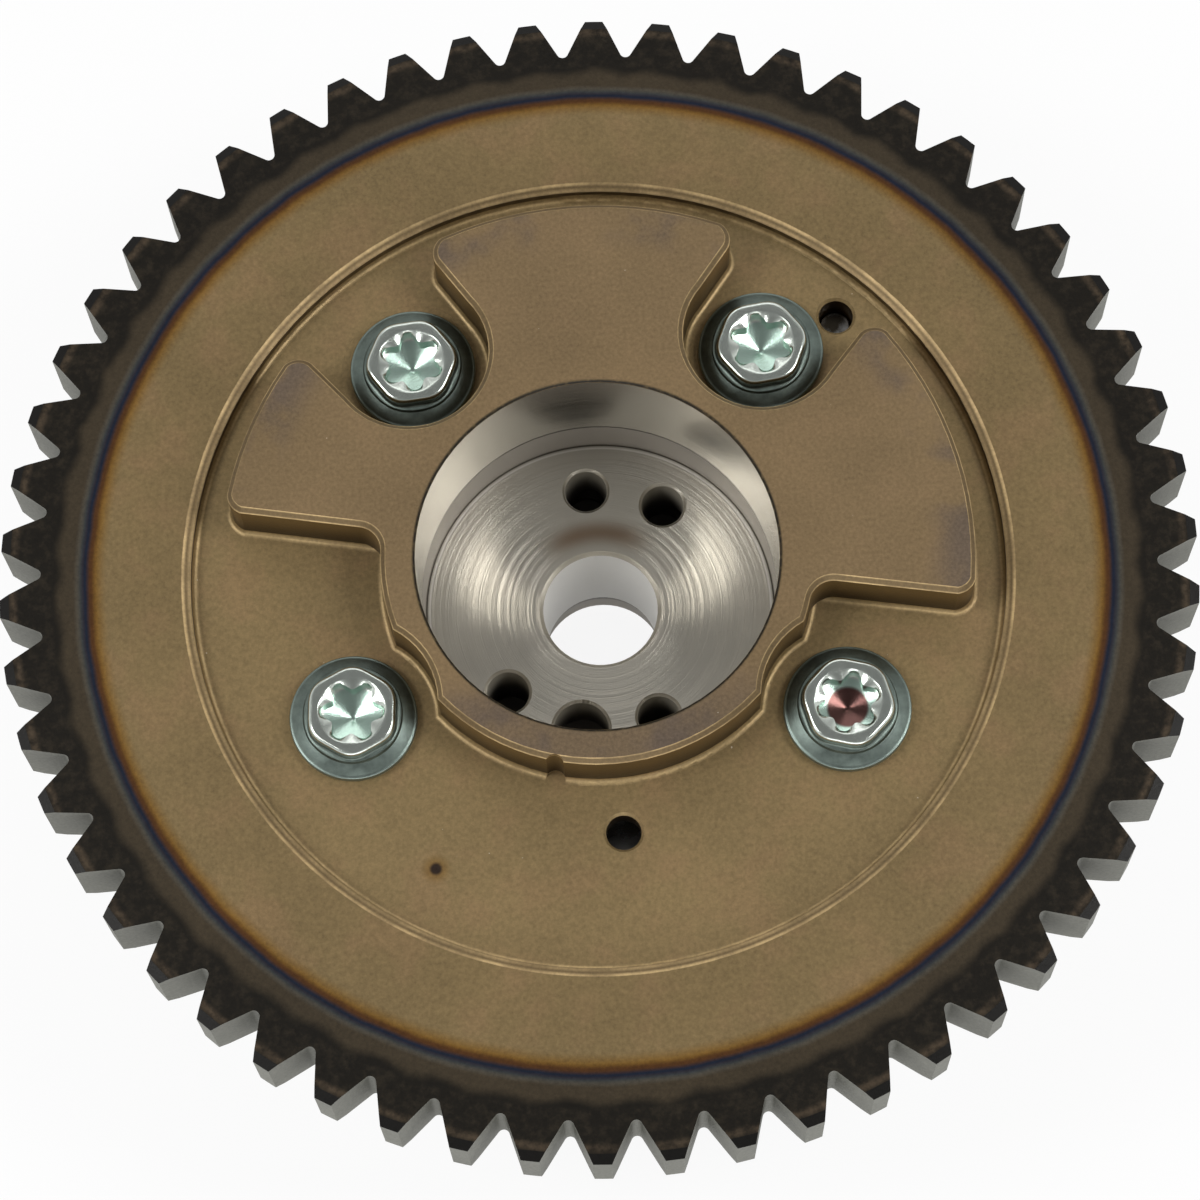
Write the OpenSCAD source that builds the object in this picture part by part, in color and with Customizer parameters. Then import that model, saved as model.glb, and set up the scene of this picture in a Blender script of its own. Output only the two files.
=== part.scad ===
// Hydraulic vane-type cam phaser for an inverted-tooth timing chain.
// It lies on its front cover with the camshaft side up: the axis is +Z, the bottom is at z = 0,
// and one tooth points along +X. Millimetres and degrees.

/* [Chain sprocket] */
// pitch of the timing chain
chain_pitch = 6.35; // [6.3:0.05:6.6]
// number of teeth
tooth_count = 54; // [54:2:60]
// height of a tooth over its root
tooth_h = 3.8; // [3.4:0.1:4]
// half of the angle between the flanks of a tooth space
flank_angle = 28.5; // [28:0.5:31]
// radius at the bottom of a tooth space
root_round_r = 0.54; // [0.4:0.02:0.7]
// thickness of the toothed plate
plate_t = 8; // [7.5:0.5:10]
// radial width of the bevel on the tooth tips
tip_bevel_w = 0.9; // [0.5:0.1:1.2]
// depth of the bevel on the tooth tips
tip_bevel_d = 0.35; // [0.2:0.05:0.6]
// radius of the round recess in the plate
recess_r = 37.25; // [36.5:0.25:39]
// depth of the recess
recess_d = 1.6; // [1.2:0.1:2]
// width of the bevel on the lip of the recess
lip_bevel_w = 0.85; // [0.4:0.05:1.2]
// depth of the bevel on the lip of the recess
lip_bevel_d = 0.35; // [0.2:0.05:0.6]

/* [Sensor wheel] */
// height of the lobes over the recess floor
lobe_h = 5.8; // [5:0.2:7]
// outer radius of the lobes
lobe_r = 34.2; // [33.4:0.2:35]
// outer radius of the hub ring
hub_ring_r = 19.65; // [19.2:0.05:20.2]
// angle of the straight edge of the left lobe
left_edge_a = 168.9; // [160:0.1:172]
// angle of the straight edge of the right lobe
right_edge_a = 349.4; // [346:0.1:356]
// radius of the slots round the two upper screws
slot_r = 7.25; // [6.9:0.05:7.6]
// angle by which each side of the slot at the first screw leans out
slot_1_lean = 1.5; // [1.5:0.5:3]
// angle by which each side of the slot at the second screw leans out
slot_2_lean = 3; // [2:0.5:4]
// radius of the bites round the two lower screws
bite_r = 7.9; // [7.4:0.1:8.3]
// radius of the outer corners of the lobes
corner_r = 1.9; // [1.4:0.1:2.4]
// radius of the inner corners between a lobe and the hub ring
inner_corner_r = 2.2; // [1.6:0.1:3]
// bevel along the top edges
top_bevel = 0.5; // [0.3:0.05:0.7]
// fillet along the foot of the walls and of the recess
foot_fillet = 0.6; // [0.3:0.05:0.7]
// angle of the small notch in the hub ring
notch_a = 255.2; // [245:0.2:265]
// radius of the notch
notch_r = 0.9; // [0.6:0.1:1.2]
// depth of the notch
notch_d = 0.5; // [0.3:0.1:0.6]

/* [Camshaft seat] */
// radius of the bore that the camshaft nose turns in
nose_bore_r = 16.5; // [16:0.1:16.8]
// bevel at the mouth of that bore
mouth_bevel = 0.25; // [0.15:0.05:0.4]
// depth of the nose seat in the rotor
seat_d = 4.66; // [4:0.02:6]
// radius of the cam bolt bore
bolt_bore_r = 5.4; // [5.2:0.1:6]
// bevel at the mouth of the bolt bore
bolt_bevel = 0.35; // [0.2:0.05:0.5]
// radius of the relief at the front end of the bolt bore
bolt_relief_r = 5.9; // [5.8:0.1:6.6]
// depth of that relief
bolt_relief_d = 4.1; // [3:0.1:6]
// radius of the circle of oil holes
port_circle_r = 11.85; // [11.4:0.05:12.2]
// radius of an oil hole
port_r = 2; // [1.6:0.1:2.2]
// depth of an oil hole
port_d = 8.6; // [8:0.1:9.4]
// angle of the first oil hole
port_1_a = 56.5; // [54:0.5:60]
// angle of the second oil hole
port_2_a = 92.9; // [88:0.1:96]
// angle of the third oil hole
port_3_a = 219.35; // [216:0.05:224]
// angle of the fourth oil hole
port_4_a = 293.75; // [290:0.05:298]
// angle between a vane and the mouth of its oil drilling
port_exit_gap_a = 6.5; // [6:0.1:8]
// radius of the oil drillings that lead to the chambers
drilling_r = 1.4; // [1:0.1:1.6]
// radius of the hole for the camshaft dowel
cam_dowel_r = 2.6; // [2.4:0.1:2.8]
// depth of the hole for the camshaft dowel
cam_dowel_d = 6; // [5:0.5:7]
// angle of the hole for the camshaft dowel
cam_dowel_a = 257.6; // [252:0.2:262]
// bevel at the mouths of the small holes
hole_bevel = 0.25; // [0.1:0.05:0.4]

/* [Vanes and chambers] */
// outer radius of the housing and the front cover
housing_r = 40.5; // [39.5:0.5:44]
// height of the housing
housing_h = 17.5; // [16:0.5:20]
// radius of the oil chambers
chamber_r = 35; // [34.5:0.1:36]
// radius of the rotor hub
rotor_r = 19.6; // [19.2:0.05:20]
// half of the angle of a web at its screw
web_half_a = 14; // [13.5:0.1:14.6]
// angle that the rotor can turn by
travel_a = 25; // [18:0.5:25]
// angle left free at each stop of the widest vane
stop_gap_a = 0.4; // [0.2:0.1:0.8]
// angle left free at each end of the other vanes
vane_gap_a = 0.9; // [0.8:0.1:1.4]
// angle from the lock pin to the near edge of its vane
lock_vane_lead_a = 27; // [24:0.5:30]
// angle from the lock pin to the far edge of its vane
lock_vane_trail_a = 21; // [19:0.5:23]
// radial clearance of the running fits
running_fit = 0.05; // [0.03:0.01:0.08]
// clearance on each face of the rotor
side_fit = 0.04; // [0.02:0.01:0.08]
// width of a seal strip
seal_w = 2.5; // [2:0.1:3]
// height of a vane seal
vane_seal_h = 2.2; // [1.8:0.1:2.6]
// height of a web seal
web_seal_h = 1.4; // [1.2:0.1:1.6]
// room under a seal for its leaf spring
spring_room = 0.8; // [0.6:0.1:0.9]
// thickness of a leaf spring
leaf_t = 0.2; // [0.15:0.05:0.3]
// length of a leaf spring
leaf_l = 14.6; // [12:0.2:15]
// clearance of the seals in their grooves and on their tracks
seal_fit = 0.03; // [0.02:0.01:0.05]

/* [Front cover] */
// thickness of the front cover
cover_t = 5; // [4.5:0.25:7]
// radius of the rotor boss that turns in the cover
boss_r = 11; // [10:0.25:13]
// depth of the boss under the face of the cover
boss_recess = 0.3; // [0.2:0.1:0.6]
// depth of the turned relief in the cover
cover_relief_d = 0.8; // [0.4:0.1:1.2]
// inner radius of the relief
cover_relief_in_r = 15; // [14:0.5:17]
// outer radius of the relief
cover_relief_out_r = 36; // [33:0.5:37]
// bevel on the edges of the housing and the cover
rim_bevel = 0.8; // [0.4:0.1:1.2]

/* [Lock pin] */
// radius of the circle that the lock pin sits on
lock_circle_r = 24.6; // [24.2:0.1:25.2]
// angle of the lock pin in the parked rotor
lock_a = 271.6; // [270:0.2:274]
// radius of the pin
pin_r = 3.5; // [3:0.1:3.6]
// length of the pin
pin_l = 10; // [9:0.5:10.5]
// length of the taper on the nose of the pin
pin_nose_l = 1.6; // [1:0.1:2]
// radial depth of that taper
pin_nose_w = 0.4; // [0.2:0.1:0.6]
// radius of the spring hole in the pin
pin_bore_r = 2.2; // [2.1:0.05:2.4]
// depth of the spring hole in the pin
pin_bore_d = 7; // [6:0.5:7.5]
// radial clearance of the pin in the rotor
pin_fit = 0.03; // [0.02:0.01:0.06]
// depth of the drawn-back pin under the face of the rotor
pin_drop = 1; // [0.6:0.1:1.5]
// thickness of the plug under the spring
plug_t = 2.5; // [2:0.25:3]
// radius of the plug
plug_r = 4.4; // [4.1:0.1:4.8]
// outer radius of the bush
bush_r = 5.4; // [5:0.1:6]
// height of the bush
bush_h = 4.2; // [3.5:0.1:4.8]
// radial room of the pin in the bush
bush_play = 0.2; // [0.1:0.05:0.4]
// radius of the vent hole over the bush
vent_r = 1.6; // [1.2:0.1:2]
// wire diameter of the spring
wire_d = 0.6; // [0.4:0.05:0.7]
// number of turns of the spring
spring_turns = 8; // [5:1:9]
// radial room of the spring in the pin
spring_play = 0.15; // [0.1:0.05:0.3]

/* [Screws and dowel] */
// radius of the circle of screws
screw_circle_r = 26.15; // [26:0.05:26.4]
// angle of the upper right screw
screw_1_a = 50.9; // [50.5:0.1:51.5]
// angle of the upper left screw
screw_2_a = 127.4; // [127:0.1:128]
// angle of the lower left screw
screw_3_a = 208.35; // [207.5:0.05:209]
// angle of the lower right screw
screw_4_a = 325.85; // [325:0.05:326.5]
// angle that the upper right screw was turned to
screw_1_turn = 37; // [0:1:59]
// angle that the upper left screw was turned to
screw_2_turn = 35; // [0:1:59]
// angle that the lower left screw was turned to
screw_3_turn = 56; // [0:1:59]
// angle that the lower right screw was turned to
screw_4_turn = 14; // [0:1:59]
// thread radius of a screw
screw_r = 3; // [2.5:0.1:3]
// clearance round the screw shanks
screw_play = 0.2; // [0.1:0.05:0.3]
// radius of the flange under the head
flange_r = 5.8; // [5.4:0.05:5.9]
// height of the flange at its rim
flange_rim_h = 0.9; // [0.6:0.1:1.2]
// height of the domed flange at the head
flange_h = 1.9; // [1.7:0.1:2.2]
// radius of the head
head_r = 4.2; // [3.9:0.05:4.4]
// height of the head over the plate
head_h = 3.2; // [3:0.1:3.8]
// radius of the six scoops in the side of the head
scoop_r = 3; // [2.4:0.1:3.6]
// depth of those scoops
scoop_d = 0.25; // [0.15:0.05:0.4]
// radius of the six-lobe drive
drive_r = 2.8; // [2.6:0.05:3]
// depth of the drive
drive_d = 1.8; // [1.4:0.1:2]
// bevel on the ends of a screw
screw_bevel = 0.5; // [0.3:0.1:0.8]
// length of the screw end left short of the cover face
screw_short = 0.6; // [0.4:0.1:1.2]
// radius of the dowel pin
dowel_r = 1.6; // [1.4:0.1:1.8]
// radius of the circle that the dowel pin sits on
dowel_circle_r = 33.45; // [33:0.05:33.8]
// angle of the dowel pin
dowel_a = 44.7; // [43:0.1:47]
// length of the dowel pin
dowel_l = 13; // [10:0.5:14]
// depth of the dowel under the recess floor
dowel_drop = 2.6; // [2:0.1:4]
// bevel on the ends of the dowel pin
dowel_bevel = 0.3; // [0.2:0.05:0.5]

/* [Hidden] */
$fn = 96;
over = 1;
screw_a = [screw_1_a, screw_2_a, screw_3_a, screw_4_a];
screw_turn = [screw_1_turn, screw_2_turn, screw_3_turn, screw_4_turn];
// sphere that domes the flange: it meets the flange rim and the foot of the head
dome_z = (flange_rim_h + flange_h) / 2
    - (pow(flange_r, 2) - pow(head_r, 2)) / (2 * (flange_h - flange_rim_h));
dome_r = norm([flange_r, flange_rim_h - dome_z]);
slot_lean = [slot_1_lean, slot_2_lean];
port_a = [port_1_a, port_2_a, port_3_a, port_4_a];

tip_r = chain_pitch * (1 / tan(180 / tooth_count) + 0.08) / 2;
root_r = tip_r - tooth_h;
space_apex_r = root_r + root_round_r - root_round_r / sin(flank_angle);

housing_z = cover_t;
plate_z = housing_z + housing_h;
face_z = plate_z + plate_t;
recess_z = face_z - recess_d;
top_z = recess_z + lobe_h;

rotor_z = housing_z + side_fit;
rotor_h = housing_h - 2 * side_fit;
rotor_top_z = rotor_z + rotor_h;
seat_z = rotor_top_z - seat_d;
vane_r = chamber_r - running_fit;
web_tip_r = rotor_r + running_fit;
pin_top_z = rotor_top_z - pin_drop;
spring_z = rotor_z + plug_t;
spring_l = pin_top_z - pin_l + pin_bore_d - spring_z;
dowel_z = recess_z - dowel_drop - dowel_l;

// edges of the lock vane, then of the two webs that stop it
lock_vane = [lock_a - lock_vane_trail_a, lock_a + lock_vane_lead_a];
lock_chamber = [lock_vane[0] - travel_a - stop_gap_a, lock_vane[1] + stop_gap_a];
// angles where each chamber starts and ends, counter-clockwise
chambers = [
    [screw_a[0] + web_half_a, screw_a[1] - web_half_a],
    [screw_a[1] + web_half_a, screw_a[2] - web_half_a],
    lock_chamber,
    [screw_a[3] + web_half_a, screw_a[0] + 360 - web_half_a]];
// the parked rotor stands at the counter-clockwise end of the chambers
function parked(c) = [c[0] + travel_a + vane_gap_a, c[1] - vane_gap_a];
vanes = [parked(chambers[0]), parked(chambers[1]), lock_vane, parked(chambers[3])];
vane_mid_a = [for (v = vanes) (v[0] + v[1]) / 2];
// where the oil drillings come out of the rotor hub, each beside a vane
port_exit_a = [
    vanes[3][1] + port_exit_gap_a,
    vanes[0][0] - port_exit_gap_a,
    vanes[2][0] - port_exit_gap_a,
    vanes[2][1] + port_exit_gap_a];

function polar(r, a) = [r * cos(a), r * sin(a)];

// pie slice from angle a to angle b, wide enough for any radius in use
module slice(a, b) {
    reach = 2 * housing_r;
    polygon(concat([[0, 0]], [for (i = [0 : 3]) polar(reach, a + (b - a) * i / 3)]));
}

// round hole down from z = 0, with a bevel at its mouth
module bevelled_hole(r, depth, bevel) {
    translate([0, 0, -depth])
        cylinder(r = r, h = depth + over);
    translate([0, 0, -bevel])
        cylinder(r1 = r, r2 = r + bevel + over, h = bevel + over);
}

// outline of the toothed disc: a tip circle less one round-bottomed V for each tooth space
module tooth_outline() {
    reach = tip_r + over - space_apex_r;
    tangent_r = space_apex_r + root_round_r / tan(flank_angle) * cos(flank_angle);
    tangent_y = root_round_r * cos(flank_angle);
    difference() {
        circle(tip_r);
        for (i = [0 : tooth_count - 1])
            rotate((i + 0.5) * 360 / tooth_count) {
                translate([root_r + root_round_r, 0])
                    circle(root_round_r);
                polygon([
                    [tangent_r, -tangent_y],
                    [space_apex_r + reach, -reach * tan(flank_angle)],
                    [space_apex_r + reach, reach * tan(flank_angle)],
                    [tangent_r, tangent_y]]);
            }
    }
}

// half section of the plate: tip bevels on both faces, and the recess with its lip bevel and foot fillet
module plate_section() {
    difference() {
        polygon([
            [0, plate_z],
            [tip_r - tip_bevel_w, plate_z],
            [tip_r, plate_z + tip_bevel_d],
            [tip_r, face_z - tip_bevel_d],
            [tip_r - tip_bevel_w, face_z],
            [0, face_z]]);
        polygon([
            [0, recess_z],
            [recess_r - foot_fillet, recess_z],
            [recess_r - foot_fillet, face_z - lip_bevel_d],
            [recess_r, face_z - lip_bevel_d],
            [recess_r + lip_bevel_w, face_z],
            [recess_r + lip_bevel_w, face_z + over],
            [0, face_z + over]]);
        translate([recess_r - foot_fillet, recess_z + foot_fillet])
            circle(foot_fillet);
        translate([recess_r - foot_fillet, recess_z + foot_fillet])
            square([foot_fillet, recess_d - foot_fillet - lip_bevel_d]);
    }
}

// half section of a raised sensor wall that stands w from its centre: top bevel and foot fillet
module wall_section(w) {
    difference() {
        polygon([
            [0, recess_z - over],
            [w + foot_fillet, recess_z - over],
            [w + foot_fillet, recess_z + foot_fillet],
            [w, recess_z + foot_fillet],
            [w, top_z - top_bevel],
            [w - top_bevel, top_z],
            [0, top_z]]);
        translate([w + foot_fillet, recess_z + foot_fillet])
            circle(foot_fillet);
    }
}

// half section of a cut whose wall stands w from its centre, with the same bevel and fillet
module cut_section(w) {
    difference() {
        polygon([
            [0, recess_z],
            [w, recess_z],
            [w, top_z - top_bevel],
            [w + top_bevel + over, top_z + over],
            [0, top_z + over]]);
        difference() {
            translate([w - foot_fillet, recess_z - over])
                square(foot_fillet + over);
            translate([w - foot_fillet, recess_z + foot_fillet])
                circle(foot_fillet);
        }
    }
}

// cut section drawn out along +X
module cut_bar(length) {
    rotate([90, 0, 90])
        linear_extrude(length)
            children();
}

// open slot round a screw: a round cut, drawn out through the rim along its two leaning sides;
// the sides stand a little inside tangents, so that they cross the round
module slot_cut(w, lean) {
    side_w = 0.995 * w;
    rotate_extrude()
        cut_section(w);
    for (side = [0, 1])
        mirror([0, side, 0])
            rotate(lean)
                cut_bar(lobe_r) {
                    cut_section(side_w);
                    translate([-over, recess_z])
                        square([2 * over, lobe_h + over]);
                }
}

// takes off what lies outside a rounded corner, between the directions a and b from its centre;
// the round is a little larger than a tangent one, so that it crosses both walls
module corner_cut(centre, a, b) {
    reach = 2.4 * corner_r;
    round_r = 1.03 * corner_r;
    middle = polar(1, a) + polar(1, b);
    difference() {
        translate([0, 0, recess_z])
            linear_extrude(lobe_h + over)
                polygon([
                    centre,
                    centre + polar(reach, a),
                    centre + 1.6 * reach * middle / norm(middle),
                    centre + polar(reach, b)]);
        translate(centre)
            rotate_extrude()
                wall_section(round_r);
    }
}

// lobe corner where a slot side meets the rim; side is +1 for the counter-clockwise side
module slot_corner_cut(screw, side) {
    along_a = screw_a[screw] + side * slot_lean[screw];
    across_a = along_a + side * 90;
    start = polar(screw_circle_r, screw_a[screw]) + polar(slot_r + corner_r, across_a);
    run = start * polar(1, along_a);
    centre_r = lobe_r - corner_r;
    centre = start + polar(sqrt(run * run - start * start + centre_r * centre_r) - run, along_a);
    corner_cut(centre, across_a + 180, atan2(centre[1], centre[0]));
}

// lobe corner where a straight edge meets the rim; side points to the open side of the edge
module edge_corner_cut(edge_a, side) {
    centre_r = lobe_r - corner_r;
    centre_a = edge_a - side * asin(corner_r / centre_r);
    corner_cut(polar(centre_r, centre_a), edge_a + side * 90, centre_a);
}

// material left in the inner corner between a straight edge and the hub ring
module inner_corner(side) {
    x = sqrt(pow(hub_ring_r + inner_corner_r, 2) - pow(inner_corner_r, 2));
    difference() {
        translate([0, 0, recess_z - over])
            linear_extrude(lobe_h + 3 * over)
                polygon([[0, -side * over], [x, -side * over], [x, side * inner_corner_r]]);
        translate([x, side * inner_corner_r, 0])
            rotate_extrude()
                polygon([
                    [0, recess_z - over / 2],
                    [inner_corner_r, recess_z - over / 2],
                    [inner_corner_r, top_z - top_bevel],
                    [inner_corner_r + top_bevel + over, top_z + over],
                    [0, top_z + over]]);
    }
}

// open field under the lobes, from the left edge round to the right edge, outside the hub ring
module lower_cut() {
    bar_w = lobe_r / 3;
    wedge_a = 12;
    difference() {
        union() {
            rotate(left_edge_a)
                translate([0, bar_w, 0])
                    cut_bar(lobe_r + 2 * over)
                        mirror([1, 0])
                            cut_section(bar_w);
            rotate(right_edge_a)
                translate([0, -bar_w, 0])
                    cut_bar(lobe_r + 2 * over)
                        cut_section(bar_w);
            translate([0, 0, recess_z])
                linear_extrude(lobe_h + over)
                    slice(left_edge_a + wedge_a, right_edge_a - wedge_a);
        }
        rotate_extrude()
            wall_section(hub_ring_r);
        rotate(left_edge_a)
            inner_corner(1);
        rotate(right_edge_a)
            inner_corner(-1);
    }
}

// three-lobe sensor wheel with its hub ring
module sensor_wheel() {
    difference() {
        rotate_extrude()
            wall_section(lobe_r);
        for (i = [0, 1])
            rotate(screw_a[i])
                translate([screw_circle_r, 0, 0])
                    slot_cut(slot_r, slot_lean[i]);
        lower_cut();
        for (i = [2, 3])
            translate(polar(screw_circle_r, screw_a[i]))
                rotate_extrude()
                    cut_section(bite_r);
        for (i = [0, 1], side = [-1, 1])
            slot_corner_cut(i, side);
        edge_corner_cut(left_edge_a, 1);
        edge_corner_cut(right_edge_a, -1);
        translate(concat(polar(hub_ring_r + notch_r - notch_d, notch_a), recess_z))
            cylinder(r = notch_r, h = lobe_h + over);
    }
}

module sprocket() {
    color("#7d694b")
        difference() {
            union() {
                intersection() {
                    translate([0, 0, plate_z])
                        linear_extrude(plate_t)
                            tooth_outline();
                    rotate_extrude()
                        plate_section();
                }
                sensor_wheel();
            }
            translate([0, 0, top_z])
                bevelled_hole(nose_bore_r, plate_t + lobe_h, mouth_bevel);
            for (a = screw_a)
                translate(concat(polar(screw_circle_r, a), plate_z - over))
                    cylinder(r = screw_r + screw_play, h = plate_t + over);
            translate(concat(polar(dowel_circle_r, dowel_a), recess_z))
                bevelled_hole(dowel_r, plate_t, hole_bevel);
            translate(concat(polar(lock_circle_r, lock_a), recess_z))
                bevelled_hole(vent_r, plate_t, hole_bevel);
            translate(concat(polar(lock_circle_r, lock_a), plate_z - over))
                cylinder(r = bush_r, h = bush_h + over);
        }
}

// disc with bevelled rims
module rim_disc(z, h) {
    translate([0, 0, z])
        rotate_extrude()
            polygon([
                [0, 0],
                [housing_r - rim_bevel, 0],
                [housing_r, rim_bevel],
                [housing_r, h - rim_bevel],
                [housing_r - rim_bevel, h],
                [0, h]]);
}

module stator_housing() {
    color("#8f8c84")
        difference() {
            rim_disc(housing_z, housing_h);
            translate([0, 0, housing_z - over])
                linear_extrude(housing_h + 2 * over) {
                    circle(web_tip_r);
                    for (c = chambers)
                        intersection() {
                            circle(chamber_r);
                            slice(c[0], c[1]);
                        }
                }
            for (a = screw_a)
                rotate(a) {
                    translate([screw_circle_r, 0, housing_z - over])
                        cylinder(r = screw_r + screw_play, h = housing_h + 2 * over);
                    seal_groove(rotor_r - over, web_tip_r + web_seal_h + spring_room);
                }
            translate(concat(polar(dowel_circle_r, dowel_a), dowel_z))
                cylinder(r = dowel_r, h = housing_h);
        }
}

// room for a seal strip and its spring, along the whole height between the radii a and b
module seal_groove(a, b) {
    w = seal_w + 2 * seal_fit;
    translate([a, -w / 2, housing_z - over])
        cube([b - a, w, housing_h + 2 * over]);
}

module rotor() {
    color("#b9b8b3")
        difference() {
            union() {
                translate([0, 0, rotor_z])
                    linear_extrude(rotor_h) {
                        circle(rotor_r);
                        for (v = vanes)
                            intersection() {
                                circle(vane_r);
                                slice(v[0], v[1]);
                            }
                    }
                translate([0, 0, boss_recess])
                    cylinder(r = boss_r, h = rotor_z);
            }
            translate([0, 0, seat_z])
                cylinder(r = nose_bore_r, h = seat_d + over);
            translate([0, 0, seat_z])
                bevelled_hole(bolt_bore_r, seat_z, bolt_bevel);
            cylinder(r = bolt_relief_r, h = boss_recess + bolt_relief_d);
            for (i = [0 : 3])
                oil_port(polar(port_circle_r, port_a[i]), polar(rotor_r, port_exit_a[i]));
            translate(concat(polar(port_circle_r, cam_dowel_a), seat_z))
                bevelled_hole(cam_dowel_r, cam_dowel_d, hole_bevel);
            for (a = vane_mid_a)
                rotate(a)
                    seal_groove(vane_r - vane_seal_h - spring_room, chamber_r);
            translate(concat(polar(lock_circle_r, lock_a), rotor_z - over)) {
                cylinder(r = pin_r + pin_fit, h = rotor_h + 2 * over);
                cylinder(r = plug_r, h = plug_t + over);
            }
        }
}

// oil hole in the seat floor with a drilling from its foot out to the rotor hub
module oil_port(from, to) {
    way = to - from;
    translate(concat(from, seat_z))
        bevelled_hole(port_r, port_d, hole_bevel);
    translate(concat(from, seat_z - port_d + port_r))
        rotate([0, 90, atan2(way[1], way[0])])
            cylinder(r = drilling_r, h = norm(way) + drilling_r);
}

module front_cover() {
    color("#8a8780")
        difference() {
            rim_disc(0, cover_t);
            translate([0, 0, -over])
                cylinder(r = boss_r + running_fit, h = cover_t + 2 * over);
            difference() {
                translate([0, 0, -over])
                    cylinder(r = cover_relief_out_r, h = cover_relief_d + over);
                translate([0, 0, -over])
                    cylinder(r = cover_relief_in_r, h = cover_relief_d + 2 * over);
                for (a = screw_a)
                    translate(concat(polar(screw_circle_r, a), -over))
                        cylinder(r = flange_r, h = cover_relief_d + 2 * over);
            }
            for (a = screw_a)
                translate(concat(polar(screw_circle_r, a), -over))
                    cylinder(r = screw_r, h = cover_t + 2 * over);
        }
}

// strip between the radii a and b, ground to the round track that it slides on
module seal_strip(a, b) {
    translate([a, -seal_w / 2, rotor_z])
        cube([b - a, seal_w, rotor_h]);
}

module vane_seal(i) {
    foot_r = vane_r - vane_seal_h;
    color("#3c3a36")
        intersection() {
            rotate(vane_mid_a[i])
                seal_strip(foot_r, chamber_r);
            cylinder(r = chamber_r - seal_fit, h = plate_z);
        }
}

module web_seal(i) {
    color("#3c3a36")
        difference() {
            rotate(screw_a[i])
                seal_strip(rotor_r - over, web_tip_r + web_seal_h);
            cylinder(r = rotor_r + seal_fit, h = plate_z);
        }
}

// bowed leaf that fills the room between the radii a and a + spring_room
module leaf_spring(a) {
    half_l = leaf_l / 2;
    rise = spring_room - leaf_t;
    bow_r = (half_l * half_l + rise * rise) / (2 * rise);
    translate([a, seal_w / 2, housing_z + housing_h / 2])
        rotate([90, 0, 0])
            linear_extrude(seal_w)
                intersection() {
                    translate([bow_r, 0])
                        difference() {
                            circle(bow_r, $fn = 360);
                            circle(bow_r - leaf_t, $fn = 360);
                        }
                    translate([0, -half_l])
                        square([spring_room, 2 * half_l]);
                }
}

module vane_spring(i) {
    color("#c8c8c4")
        rotate(vane_mid_a[i])
            leaf_spring(vane_r - vane_seal_h - spring_room);
}

module web_spring(i) {
    color("#c8c8c4")
        rotate(screw_a[i])
            leaf_spring(web_tip_r + web_seal_h);
}

module at_lock_pin() {
    translate(polar(lock_circle_r, lock_a))
        children();
}

module lock_pin() {
    foot_z = pin_top_z - pin_l;
    color("#a9a9a6")
        at_lock_pin()
            rotate_extrude()
                polygon([
                    [pin_bore_r, foot_z],
                    [pin_r, foot_z],
                    [pin_r, pin_top_z - pin_nose_l],
                    [pin_r - pin_nose_w, pin_top_z],
                    [0, pin_top_z],
                    [0, foot_z + pin_bore_d],
                    [pin_bore_r, foot_z + pin_bore_d]]);
}

// coil wound on the rule: angle and height grow together from the plug to the pin
module lock_spring() {
    sides = 8;
    steps = 20 * spring_turns;
    coil_r = pin_bore_r - wire_d / 2 - spring_play;
    rise = spring_l - wire_d;
    points = [for (i = [0 : steps], k = [0 : sides - 1])
        let (turn = 360 * spring_turns * i / steps, around = 360 * k / sides)
            concat(
                polar(coil_r + wire_d / 2 * cos(around), turn),
                wire_d / 2 + rise * i / steps + wire_d / 2 * sin(around))];
    function at(i, k) = i * sides + k % sides;
    walls = [for (i = [0 : steps - 1], k = [0 : sides - 1])
        [at(i, k), at(i + 1, k), at(i + 1, k + 1), at(i, k + 1)]];
    ends = [
        [for (k = [0 : sides - 1]) k],
        [for (k = [sides - 1 : -1 : 0]) steps * sides + k]];
    color("#c8c8c4")
        at_lock_pin()
            translate([0, 0, spring_z])
                polyhedron(points, concat(walls, ends));
}

module lock_plug() {
    color("#a9a9a6")
        at_lock_pin()
            translate([0, 0, rotor_z])
                difference() {
                    cylinder(r = plug_r, h = plug_t);
                    translate([0, 0, -over])
                        cylinder(r = drilling_r, h = plug_t + 2 * over);
                }
}

module lock_bush() {
    color("#a9a9a6")
        at_lock_pin()
            translate([0, 0, plate_z])
                difference() {
                    cylinder(r = bush_r, h = bush_h);
                    translate([0, 0, -over])
                        cylinder(r = pin_r + bush_play, h = bush_h + 2 * over);
                }
}

// six-lobe outline: round tips on a circle of radius r, joined by hollow flanks
module six_lobe(r) {
    tip = 0.24 * r;
    difference() {
        circle(0.93 * r);
        for (i = [0 : 5])
            rotate(60 * i + 30)
                translate([1.14 * r, 0])
                    circle(0.41 * r);
    }
    for (i = [0 : 5])
        rotate(60 * i)
            translate([r - tip, 0])
                circle(tip);
}

// outline of the head: a circle with a shallow scoop between each two of its six lobes
module head_outline() {
    difference() {
        circle(head_r);
        for (i = [0 : 5])
            rotate(60 * i)
                translate([head_r + scoop_r - scoop_d, 0])
                    circle(scoop_r);
    }
}

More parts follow.
